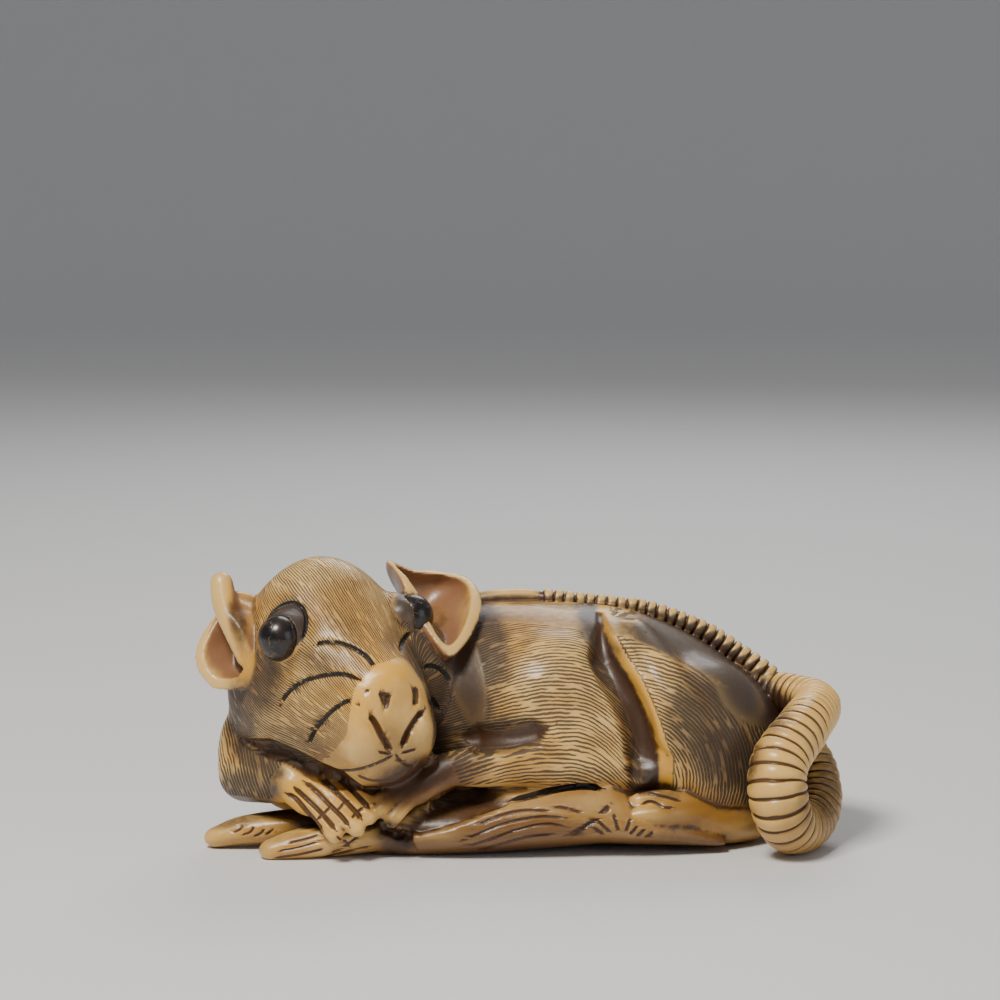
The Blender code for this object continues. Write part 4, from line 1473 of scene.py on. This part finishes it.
tail_share = along_tube(TAIL_ROUTE, TAIL_RING_PITCH, 0.0, "tail")
ridge_share = along_tube(RIDGE_ROUTE, BEAD_PITCH, RIDGE_PLAIN, "ridge")
RING_HALF = 0.14
NOTCH_HALF = 0.18
ring_off = np.minimum(tail_share, 1 - tail_share) / RING_HALF
notch_off = np.minimum(ridge_share, 1 - ridge_share) / NOTCH_HALF
cut_off = np.where(owner == names.index("tail"), np.minimum(cut_off, ring_off), cut_off)
cut_off = np.where(owner == names.index("ridge"), np.minimum(cut_off, notch_off), cut_off)
print("points in ring grooves:", int((cut_off < 1).sum()))

# %% Patches of smoke and painted shadow
# Some are smoky stain and some are painted shadow: the head's shadow on the cheek's edge and the flank
# beside it, and the ear's shadow on the shoulder.
# Each row: middle, half width and half height in pixels, turn in degrees, strength
SMOKE_AND_SHADE = [
    (292, 618, 18, 22, 0, 1.0),
    (262, 682, 24, 44, 0, 0.8),
    (238, 668, 20, 60, 0, 0.85),
    (244, 724, 20, 30, 0, 0.7),
    (258, 760, 38, 18, 35, 1.0),
    (290, 725, 70, 34, 15, 0.3),
    (318, 662, 22, 14, 20, 0.5),
    (342, 626, 20, 14, 0, 0.2),
    (412, 606, 24, 30, 0, 1.0),
    (424, 655, 26, 38, 0, 0.95),
    (440, 700, 20, 66, 0, 0.95),
    (394, 636, 14, 20, 0, 0.35),
    (462, 690, 34, 92, -12, 1.0),
    (484, 640, 28, 66, -10, 0.9),
    (497, 733, 52, 18, -8, 0.95),
    (604, 655, 20, 50, -20, 0.45),
    (560, 690, 70, 44, 0, 0.2),
    (712, 722, 54, 66, -20, 0.95),
    (248, 790, 40, 28, 0, 1.0),
    (750, 700, 50, 34, 30, 0.95),
    (690, 645, 60, 16, 30, 0.4),
]
print("patches of smoke:", len(SMOKE_AND_SHADE))

# %% Patches of brown stain and painted shade, and of amber
# Brown patches are partly stain and partly painted shade: under the chin, beside the hand, along the
# underside of the fish and its tail lobes, and on the tail's back strand.
BROWN_AND_SHADE = [
    (238, 622, 12, 30, -14, 0.75),
    (352, 583, 5, 5, 0, 0.4),
    (728, 757, 38, 44, 0, 1.0),
    (655, 790, 40, 12, 8, 0.6),
    (585, 775, 60, 12, 4, 0.3),
    (240, 705, 20, 44, 0, 0.5),
    (300, 742, 56, 18, 25, 0.45),
    (418, 776, 62, 22, -18, 1.0),
    (392, 838, 20, 30, -35, 0.8),
    (245, 845, 44, 12, 0, 0.35),
    (235, 822, 40, 8, -8, 0.6),
    (290, 838, 30, 8, -10, 0.4),
    (830, 790, 22, 60, 0, 0.6),
    (808, 800, 16, 40, 0, 0.4),
    (560, 850, 160, 10, 0, 0.5),
    (700, 838, 70, 12, 4, 0.4),
]
AMBER = [
    (388, 672, 30, 22, 0, 1.0),
    (360, 698, 18, 34, 10, 0.8),
    (385, 705, 50, 60, 0, 0.4),
    (292, 800, 22, 30, 30, 1.0),
    (310, 822, 26, 14, 30, 0.5),
    (700, 812, 64, 16, 4, 0.5),
    (232, 836, 34, 18, 0, 0.3),
    (285, 845, 36, 16, 0, 0.3),
    (245, 668, 26, 16, 0, 0.7),
    (235, 590, 14, 20, 0, 0.5),
]
print("brown:", len(BROWN_AND_SHADE), "amber:", len(AMBER))

# %% Tan with painted shade, wear, smooth skin, and the far side
# Darker on the lower parts: under the chin, the muzzle's lower half, the foot, the fish and the tail's low
# turn. This is a tan tone with painted shade.
TAN_AND_SHADE = [
    (425, 785, 64, 26, -15, 1.0),
    (385, 752, 60, 40, 0, 0.5),
    (700, 815, 70, 26, 0, 0.6),
    (520, 832, 120, 28, 0, 0.8),
    (805, 830, 40, 50, 0, 0.4),
]
# Rubbed clean
RUBBED = [
    (336, 798, 42, 20, 35, 0.85),
    (388, 672, 20, 12, 0, 1.0),
    (430, 800, 30, 8, -40, 0.7),
]
# Without hair
SMOOTH = [
    (752, 698, 46, 30, 32, 1.0),
    (466, 672, 22, 76, -12, 0.9),
    (486, 600, 24, 20, 0, 0.8),
    (404, 604, 16, 22, 0, 1.0),
]
# On the far side: middle and radius in millimetres, strength
FAR_SMOKE = [
    (-9, 11, 17, 4.5, 0.8),
    (9.5, 16, 11, 3.5, 0.7),
    (17, 12, 8, 4.5, 0.9),
    (-19, 4, 8, 4.5, 0.8),
    (2, 18, 5, 4.5, 0.5),
    (-15, 4, 17, 3.5, 0.6),
]
print("far patches:", len(FAR_SMOKE))

# %% How patches fade
PATCH_SOFT = (0.35, 1.25)


def patches(rows):
    """The strongest of several soft patches at each point that faces the viewer."""
    most = np.zeros(len(points))
    for px, py, wide, high, turned, strength in rows:
        c, s = math.cos(math.radians(turned)), math.sin(math.radians(turned))
        dx, dy = across - px, down - py
        far = np.hypot((dx * c + dy * s) / wide, (dy * c - dx * s) / high)
        most = np.maximum(most, strength * (1 - rise(*PATCH_SOFT, far)))
    return most * faces_viewer


def far_patches(rows):
    """The same for patches given in space, on the side that faces away."""
    most = np.zeros(len(points))
    for px, py, pz, radius, strength in rows:
        far = np.linalg.norm(points - np.array((px, py, pz)), axis=1) / radius
        most = np.maximum(most, strength * (1 - rise(*PATCH_SOFT, far)))
    return most * (1 - faces_viewer)


def beside(route, below, width):
    """1 along a line that runs below a tube's route, on both of its flanks."""
    line = np.array([along(route, k / 200)[:3] for k in range(201)])
    far = np.full(len(points), 1e9)
    for spot in line:
        far = np.minimum(far, np.hypot(points[:, 0] - spot[0], points[:, 2] - spot[2] + below))
    return 1 - rise(0.4, 1.0, far / width)


print("patches:", sum(len(rows) for rows in (SMOKE_AND_SHADE, BROWN_AND_SHADE, AMBER, TAN_AND_SHADE, RUBBED, SMOOTH, FAR_SMOKE)))

# %% [markdown]
# ## Which stain and painted shade lie where
# Smoke is the cool, dark tone, partly stain and partly painted shade, and brown is the warm one. Smoke
# fills the groove before the thigh, the lid and the hollow above the forearm, and paints shade in the band
# under the ridge and on the ridge's underside. Brown darkens creases and whatever lies shut in, and paints
# shade under the chin, along the fish and on the tail's back strand. Wear is the opposite: it brings the
# cream back on convex forms and on the thigh's crest, partly as wear and partly as painted highlight.

# %% Bands beside the thigh and under the ridge
ears = part["ears"]
slope = rise(-1.45, -1.0, off_crest) * (1 - rise(-0.2, 0.1, off_crest)) * above_foot * near_side
valley = rise(-3.9, -2.6, off_crest) * (1 - rise(-1.4, -0.9, off_crest)) * above_foot * near_side
# Painted shade: a band on the flank under the ridge, and the ridge's own underside, are darkened where the
# ridge shades them.
band = beside(RIDGE_ROUTE, 1.0, 0.85 + 1.1 * rise(8, 16, x)) * part["body"] * near_side
ridge_foot = part["ridge"] * (1 - rise(0.2, 0.65, normals[:, 2]))
crease = np.sort(gaps, 0)
crease = rise(0.1, 0.7, 0.7 - (crease[1] - crease[0])) * rise(0.0, 0.3, broad_hollow)
print("bands:", [round(values.mean(), 3) for values in (slope, valley, band, ridge_foot, crease)])

# %% Smoke and painted shade
towards_tail = rise(5, 12, x)
far_side = 1 - faces_viewer
rubbed = patches(RUBBED)

# Smoky stain, with painted shadow from the patches, the band under the ridge and the ridge's underside. On
# the far side, shut-in places are darkened.
smoke_and_shade = patches(SMOKE_AND_SHADE) * (1 - 0.7 * muzzle) * (1 - 0.85 * ears)
smoke_and_shade = np.maximum.reduce([
    smoke_and_shade,
    far_patches(FAR_SMOKE),
    0.9 * band * towards_tail,
    0.8 * ridge_foot,
    0.85 * groove_shade,
    0.9 * valley,
    0.95 * lid,
    0.9 * rise(0.1, 0.5, above_arm),
])
smoke_and_shade *= 1 - 0.8 * slope * (1 - rise(16, 19, z))
smoke_and_shade = np.maximum(smoke_and_shade, far_side * rise(0.3, 0.7, shut) * 0.7)
smoke_and_shade *= 1 - rubbed
hair = hair * (1 - 0.9 * band) * (1 - patches(SMOOTH))
print("smoke, mean:", round(smoke_and_shade.mean(), 3))

# %% Brown stain and painted shade
# Darker where the skin is shut in, creased or hollow. The patches, the fish's hollow and the front part of
# the band under the ridge add painted shade.
brown_and_shade = np.maximum.reduce([
    0.95 * rise(0.4, 0.75, shut),
    0.9 * crease,
    0.8 * rise(0.012, 0.07, fine_hollow),
    0.6 * rise(0.1, 0.5, broad_hollow),
])
brown_and_shade = brown_and_shade * (1 - 0.8 * ears)
brown_and_shade = np.maximum.reduce([brown_and_shade, patches(BROWN_AND_SHADE), 0.8 * hollow_stain_and_shade, 0.5 * band * (1 - towards_tail)])
brown_and_shade *= 1 - 0.85 * rubbed
print("brown, mean:", round(brown_and_shade.mean(), 3))

# %% Amber, tan with painted shade, and wear with painted highlight
paws, tail_skin, fish_skin = part["paws"], part["tail"], part["fish"]
low_down = 1 - rise(1.0, 5.0, z)

amber = np.maximum.reduce([patches(AMBER), 0.25 * paws, 0.3 * tail_skin, 0.8 * slope])
# Tan with painted shade: the patches, the fish and everything low down are darkened, more towards the
# bottom.
tan_and_shade = np.maximum.reduce([patches(TAN_AND_SHADE), 0.5 * fish_skin, 0.8 * fish_skin * (1 - rise(1.0, 4.5, z))])
tan_and_shade = np.maximum(tan_and_shade, 0.5 * low_down) * (0.3 + 0.7 * rise(-17, -11, x))
# Wear with painted highlight: convex forms and the strip along the thigh's crest are lightened.
wear_and_highlight = rise(0.15, 0.6, -broad_hollow) + rise(0.02, 0.06, -fine_hollow) * 0.5
wear_and_highlight = np.maximum(wear_and_highlight, rise(-0.2, 0.1, off_crest) * (1 - rise(0.4, 1.6, off_crest)) * above_foot)
print("wear, mean:", round(wear_and_highlight.mean(), 3))

# %% Write the measures on the skin
MEASURES = {
    "hair": hair,
    "hair_line": hair_line,
    "hair_run": hair_run,
    "cut_off": cut_off,
    "ink_off": ink_off,
    "smoke_and_shade": smoke_and_shade,
    "brown_and_shade": brown_and_shade,
    "amber": amber,
    "wear_and_highlight": np.clip(wear_and_highlight, 0, 1),
    "ear": ears * rise(0.12, 0.36, shut),
    "tan_and_shade": tan_and_shade,
}
for name, values in MEASURES.items():
    layer = rat.data.attributes.new(name, "FLOAT", "POINT")
    layer.data.foreach_set("value", values.astype(np.float32))
print("measures:", ", ".join(MEASURES))

# %% [markdown]
# ## Stained ivory
# The material starts from cream ivory that drifts towards honey, and lays the stains and the painted shade
# over it.
# A hair line is drawn where the line number passes a whole number. Its groove widens where stain and
# painted shade are strong, so that only thin light ridges are left there, and it breaks off here and
# there, as strokes of a graver do. The same lines sink the surface a little, and make it duller. Lines
# this fine would need millions of points as mesh, so they are left to the material.

# %% A small helper for node graphs
class Graph:
    """Adds nodes to a material and wires them, from its inputs forward."""

    def __init__(self, name):
        self.material = bpy.data.materials.new(name)
        self.material.use_nodes = True
        self.tree = self.material.node_tree
        self.shader = self.tree.nodes["Principled BSDF"]

    def add(self, kind, *values, **settings):
        """A new node, its inputs filled in order with values or wires."""
        node = self.tree.nodes.new(kind)
        for key, value in settings.items():
            setattr(node, key, value)
        for socket, value in zip(node.inputs, values):
            self.put(socket, value)
        return node

    def put(self, socket, value):
        """A wire or a plain value into an input."""
        if isinstance(value, bpy.types.NodeSocket):
            self.tree.links.new(value, socket)
        elif value is not None:
            socket.default_value = value

    def calc(self, operation, *values, clamp=False):
        """One step of arithmetic, on one value or two."""
        node = self.add("ShaderNodeMath", *values, operation=operation, use_clamp=clamp)
        return node.outputs[0]

    def times(self, first, second, clamp=False):
        return self.calc("MULTIPLY", first, second, clamp=clamp)

    def plus(self, first, second, clamp=False):
        return self.calc("ADD", first, second, clamp=clamp)

    def minus(self, first, second):
        return self.calc("SUBTRACT", first, second)

    def measure(self, name):
        """A measure written on the skin."""
        return self.add("ShaderNodeAttribute", attribute_name=name).outputs["Fac"]

    def step(self, value, low, high, bottom=0.0, top=1.0):
        """A soft step of a value."""
        kind = "SMOOTHSTEP"
        node = self.add("ShaderNodeMapRange", value, low, high, bottom, top, interpolation_type=kind)
        return node.outputs[0]

    def cloud(self, where, scale, detail=2.0, roughness=0.5):
        """A soft noise, around one half."""
        node = self.add("ShaderNodeTexNoise", where)
        node.inputs["Scale"].default_value = scale
        node.inputs["Detail"].default_value = detail
        node.inputs["Roughness"].default_value = roughness
        return node.outputs[0]

    def blend(self, share, first, second):
        """A colour between two colours."""
        node = self.add("ShaderNodeMix", data_type="RGBA")
        self.put(node.inputs[0], share)
        self.put(node.inputs[6], first)
        self.put(node.inputs[7], second)
        return node.outputs[2]

    def place_in_mm(self):
        """The place on the object, in millimetres, so that noise scales are easy to think of."""
        where = self.add("ShaderNodeTexCoord").outputs["Object"]
        scaled = self.add("ShaderNodeVectorMath", where, operation="SCALE")
        scaled.inputs["Scale"].default_value = 1 / MM
        return scaled.outputs[0]


print("node helper ready")

# %% Tones
CREAM = (0.86, 0.58, 0.22, 1)
HONEY = (0.50, 0.265, 0.065, 1)
AMBER_TONE = (0.84, 0.42, 0.035, 1)
# The tan, brown and smoke tones also serve as painted shade.
TAN_AND_SHADE_TONE = (0.15, 0.060, 0.014, 1)
HAIR_TONE = (0.040, 0.024, 0.015, 1)
BROWN_TONE = (0.060, 0.024, 0.010, 1)
SMOKE_AND_SHADE_TONE = (0.028, 0.021, 0.024, 1)
CUT_TONE = (0.075, 0.030, 0.012, 1)
INK = (0.010, 0.0055, 0.004, 1)
HOLLOW_TONE = (0.26, 0.115, 0.07, 1)

ivory = Graph("stained_ivory")
spot = ivory.place_in_mm()
print("material:", ivory.material.name)

# %% [markdown]
# ## Drawing the hair lines
# The line number is shaken a little by slow and fast noise, so the lines waver. The distance to the middle
# of a line is compared with the line's width, which is wider in stain and painted shade and changes along
# each stroke. Each line has its own chance number, so that neighbours break off in different places.

# %% The lines of hair
DRIFT = 1.6
TREMBLE = 0.3
STROKE_LENGTH = 0.45
HAIR_WIDTH = 0.17
WIDER_IN_STAIN = 0.22
STROKE_SWELL = 0.35

drifting = ivory.times(ivory.minus(ivory.cloud(spot, 0.4), 0.5), DRIFT)
trembling = ivory.times(ivory.minus(ivory.cloud(spot, 2.2, 1.0), 0.5), TREMBLE)
line = ivory.plus(ivory.plus(ivory.measure("hair_line"), drifting), trembling)
number = ivory.calc("FLOOR", line)
off_line = ivory.calc("ABSOLUTE", ivory.minus(ivory.calc("FRACT", line), 0.5))
chance = ivory.add("ShaderNodeTexWhiteNoise", noise_dimensions="1D")
ivory.put(chance.inputs["W"], number)
chance = chance.outputs["Value"]

run = ivory.plus(ivory.times(ivory.measure("hair_run"), STROKE_LENGTH), ivory.times(chance, 60.0))
stroke_place = ivory.add("ShaderNodeCombineXYZ", run, ivory.times(number, 3.7), 0.0).outputs[0]
stroke = ivory.cloud(stroke_place, 1.0, 1.0)
print("line width:", HAIR_WIDTH, "of the pitch, to each side")

# %% Stain and painted shade, mottled
CLOUDY = 0.28

smoke_cloud = ivory.step(ivory.cloud(spot, 0.45, 4.0, 0.65), 0.35, 0.7)
mottle = ivory.cloud(spot, 1.6, 3.0, 0.6)
mottling = ivory.plus(0.6, ivory.times(mottle, 0.8))
smoke_and_shade_now = ivory.times(ivory.measure("smoke_and_shade"), mottling, clamp=True)
brown_and_shade_now = ivory.times(ivory.measure("brown_and_shade"), mottling, clamp=True)
stain_and_shade_now = ivory.calc("MAXIMUM", smoke_and_shade_now, brown_and_shade_now)
hair_cloud = ivory.times(ivory.times(smoke_cloud, CLOUDY), ivory.measure("hair"))
stain_and_shade_now = ivory.plus(stain_and_shade_now, hair_cloud, clamp=True)

width = ivory.plus(HAIR_WIDTH, ivory.times(stain_and_shade_now, WIDER_IN_STAIN))
width = ivory.plus(width, ivory.times(ivory.minus(stroke, 0.5), STROKE_SWELL))
gap = ivory.minus(off_line, width)
hair_cut = ivory.step(gap, -0.05, 0.07, 1.0, 0.0)
hair_cut = ivory.times(hair_cut, ivory.step(stroke, 0.3, 0.42))
hair_cut = ivory.times(hair_cut, ivory.step(ivory.measure("hair"), 0.35, 0.65))
print("nodes so far:", len(ivory.tree.nodes))

# %% [markdown]
# ## Colour, from the ivory outwards
# Cream and honey drift into each other, and wear with painted highlight brings back the cream. Amber is a
# tint, and tan is a tint with painted shade on the lower parts. The stains and painted shade lie over
# them, and the cuts are drawn last, as they were filled last.

# %% Colour of the ivory
base = ivory.blend(ivory.step(ivory.cloud(spot, 0.18, 4.0, 0.6), 0.25, 0.6), CREAM, HONEY)
# Painted highlight with wear: the cream comes back on convex forms.
base = ivory.blend(ivory.times(ivory.measure("wear_and_highlight"), 0.75), base, CREAM)
grain = ivory.step(ivory.cloud(spot, 3.0, 4.0, 0.7), 0.38, 0.68)
base = ivory.blend(ivory.times(grain, 0.3), base, AMBER_TONE)
base = ivory.blend(ivory.times(ivory.measure("amber"), 0.8), base, AMBER_TONE)
# Painted shade: tan darkens the lower parts, and smoke and brown darken shadowed places as well as stained
# ones.
base = ivory.blend(ivory.step(ivory.measure("tan_and_shade"), 0.0, 0.9, 0.0, 0.92), base, TAN_AND_SHADE_TONE)
base = ivory.blend(ivory.times(ivory.measure("ear"), 0.85), base, HOLLOW_TONE)
bare = ivory.minus(1.0, ivory.times(ivory.measure("hair"), 0.3))
base = ivory.blend(ivory.times(ivory.step(smoke_and_shade_now, 0.0, 0.85, 0.0, 0.95), bare), base, SMOKE_AND_SHADE_TONE)
base = ivory.blend(ivory.times(ivory.step(brown_and_shade_now, 0.05, 0.9, 0.0, 0.95), bare), base, BROWN_TONE)
specks = ivory.step(ivory.cloud(spot, 5.0, 2.0, 0.7), 0.68, 0.76)
base = ivory.blend(ivory.times(specks, 0.35), base, BROWN_TONE)
base = ivory.blend(ivory.times(hair_cut, 0.88), base, HAIR_TONE)
deep_cut = ivory.step(ivory.measure("cut_off"), 0.6, 1.0, 1.0, 0.0)
base = ivory.blend(ivory.times(deep_cut, 0.92), base, CUT_TONE)
inked = ivory.step(ivory.measure("ink_off"), 0.7, 1.0, 1.0, 0.0)
base = ivory.blend(ivory.times(inked, 0.95), base, INK)
ivory.put(ivory.shader.inputs["Base Color"], base)
print("nodes with the colour:", len(ivory.tree.nodes))

# %% Gloss and relief of the ivory
POLISH = 0.32
HAIR_DEPTH = 0.05
MOTTLE_DEPTH = 0.03

rough = ivory.plus(POLISH, ivory.times(hair_cut, 0.3))
rough = ivory.plus(rough, ivory.times(stain_and_shade_now, 0.12))
rough = ivory.plus(rough, ivory.times(ivory.minus(mottle, 0.5), 0.15))
ivory.put(ivory.shader.inputs["Roughness"], rough)
height = ivory.plus(ivory.times(hair_cut, -HAIR_DEPTH), ivory.times(mottle, MOTTLE_DEPTH))
relief = ivory.add("ShaderNodeBump")
relief.inputs["Strength"].default_value = 1.0
relief.inputs["Distance"].default_value = MM
ivory.put(relief.inputs["Height"], height)
ivory.put(ivory.shader.inputs["Normal"], relief.outputs[0])
ivory.shader.inputs["Subsurface Weight"].default_value = 0.08
ivory.shader.inputs["Subsurface Scale"].default_value = 0.8 * MM
ivory.shader.inputs["Subsurface Radius"].default_value = (1.0, 0.6, 0.35)
ivory.shader.inputs["Coat Weight"].default_value = 0.12
ivory.shader.inputs["Coat Roughness"].default_value = 0.18
rat.data.materials.clear()
rat.data.materials.append(ivory.material)
print("ivory nodes:", len(ivory.tree.nodes))

# %% [markdown]
# ## The eyes
# Each eye is a polished bead of dark horn. Fine pale cracks cross it, and it takes a sharp highlight. A
# bead is a ball a hair smaller than its socket. The cracks are the borders of large random cells, and
# noise shifts the cells, so that the cracks wander.

# %% Polished horn
HORN_TONES = ((0.006, 0.005, 0.005, 1), (0.028, 0.017, 0.014, 1))
CRACK_TONE = (0.14, 0.08, 0.05, 1)
CRACK_DEPTH = 0.04

horn = Graph("polished_horn")
spot = horn.place_in_mm()
wander = horn.add("ShaderNodeTexNoise", spot)
wander.inputs["Scale"].default_value = 1.3
shifted = horn.add("ShaderNodeVectorMath", spot, wander.outputs["Color"], operation="ADD").outputs[0]
cells = horn.add("ShaderNodeTexVoronoi", shifted, feature="DISTANCE_TO_EDGE")
cells.inputs["Scale"].default_value = 0.45
crack = horn.step(cells.outputs[0], 0.012, 0.03, 1.0, 0.0)
crack = horn.times(crack, horn.step(horn.cloud(spot, 0.9), 0.42, 0.58))
tone = horn.blend(horn.step(horn.cloud(spot, 0.8, 3.0), 0.4, 0.7), *HORN_TONES)
tone = horn.blend(horn.times(crack, 0.6), tone, CRACK_TONE)
horn.put(horn.shader.inputs["Base Color"], tone)
dull = horn.plus(0.2, horn.times(horn.cloud(spot, 2.0), 0.2))
horn.put(horn.shader.inputs["Roughness"], dull)
pits = horn.add("ShaderNodeBump")
pits.inputs["Distance"].default_value = MM
horn.put(pits.inputs["Height"], horn.times(crack, -CRACK_DEPTH))
horn.put(horn.shader.inputs["Normal"], pits.outputs[0])
horn.shader.inputs["Coat Weight"].default_value = 0.25
horn.shader.inputs["Coat Roughness"].default_value = 0.08
print("horn nodes:", len(horn.tree.nodes))

# %% Two beads
eyes = []
for name, place in eye_frames.items():
    eye = ball(name + "_bead", place, EYE_RADII, 5)
    eye.data.shade_smooth()
    eye.data.materials.append(horn.material)
    eyes.append(eye)
print("eyes:", [eye.name for eye in eyes])

# %% [markdown]
# ## Everything in its place
# The forms were drawn in the carver's frame. Now they move into the frame of the imported solids, are tied
# to the root body, and the solids that they stand for are hidden.

# %% Place the pieces and tie them to the solids
rat.name = "carving"
for item in (rat, *eyes):
    item.data.transform(Matrix.Translation(-ORIGIN * MM))
    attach(item, "root")
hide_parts("rat_on_fish")
for eye, node in zip(eyes, eye_frames):
    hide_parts(node)
print("placed:", rat.name, [eye.name for eye in eyes])

# %% [markdown]
# ## Floor and light
# The floor is a pale sheet that bends up all round, like the paper sweep of a photographer, so no
# horizon shows from any side. A broad soft light comes from the upper left in front, a weaker one from
# the right, and one from behind draws the outline of the back.

# %% Floor
FLOOR_FLAT = 0.75
FLOOR_BEND = 0.45
FLOOR_WALL = 0.5
FLOOR_SIDES = 96
FLAT_RINGS = 4
BEND_RINGS = 12

sweep = [(FLOOR_FLAT * k / FLAT_RINGS, 0.0) for k in range(1, FLAT_RINGS + 1)]
for k in range(1, BEND_RINGS + 1):
    lean = math.radians(90) * k / BEND_RINGS
    out = FLOOR_FLAT + FLOOR_BEND * math.sin(lean)
    sweep.append((out, FLOOR_BEND * (1 - math.cos(lean))))
sweep.append((FLOOR_FLAT + FLOOR_BEND, FLOOR_BEND + FLOOR_WALL))

turns = [math.tau * k / FLOOR_SIDES for k in range(FLOOR_SIDES)]
corners = [(0.0, 0.0, 0.0)]
for out, high in sweep:
    corners += [(out * math.cos(turn), out * math.sin(turn), high) for turn in turns]
sheets = [(0, 1 + k, 1 + (k + 1) % FLOOR_SIDES) for k in range(FLOOR_SIDES)]
for i in range(len(sweep) - 1):
    for k in range(FLOOR_SIDES):
        a = 1 + i * FLOOR_SIDES + k
        b = 1 + i * FLOOR_SIDES + (k + 1) % FLOOR_SIDES
        sheets.append((a, a + FLOOR_SIDES, b + FLOOR_SIDES, b))
floor_mesh = bpy.data.meshes.new("floor")
floor_mesh.from_pydata(corners, [], sheets)
floor = put("floor", floor_mesh)
floor.data.shade_smooth()
paper = Graph("pale_paper")
paper.shader.inputs["Base Color"].default_value = (0.78, 0.78, 0.79, 1)
paper.shader.inputs["Roughness"].default_value = 0.7
floor.data.materials.append(paper.material)
floor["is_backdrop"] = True
print("floor faces:", len(floor.data.polygons))

# %% Sky and lamps
LOOK_AT = Vector((0, 0, 0.012))

sky = bpy.data.worlds.new("studio")
sky.use_nodes = True
sky.node_tree.nodes["Background"].inputs["Color"].default_value = (0.75, 0.78, 0.82, 1)
sky.node_tree.nodes["Background"].inputs["Strength"].default_value = 0.27
bpy.context.scene.world = sky


def lamp(name, place, size, power, colour=(1, 1, 1)):
    """A square soft light, a place in metres, that looks at the carving."""
    light = bpy.data.lights.new(name, "AREA")
    light.size = size
    light.energy = power
    light.color = colour
    item = bpy.data.objects.new(name, light)
    item.location = place
    item.rotation_euler = (LOOK_AT - item.location).to_track_quat("-Z", "Y").to_euler()
    bpy.context.scene.collection.objects.link(item)


lamp("key_light", (-0.13, -0.20, 0.36), 0.12, 1.9, (1.0, 0.95, 0.86))
lamp("fill_light", (0.32, -0.24, 0.14), 0.22, 0.2, (0.92, 0.96, 1.0))
lamp("back_light", (0.05, 0.30, 0.26), 0.18, 0.4)
print("lamps: key, fill and back")

# %% Sizes, and the end
visual_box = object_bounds()
for label, box_corners in (("solids", cad_box), ("finished", visual_box)):
    print(label, [[round(v / MM, 2) for v in corner] for corner in box_corners])
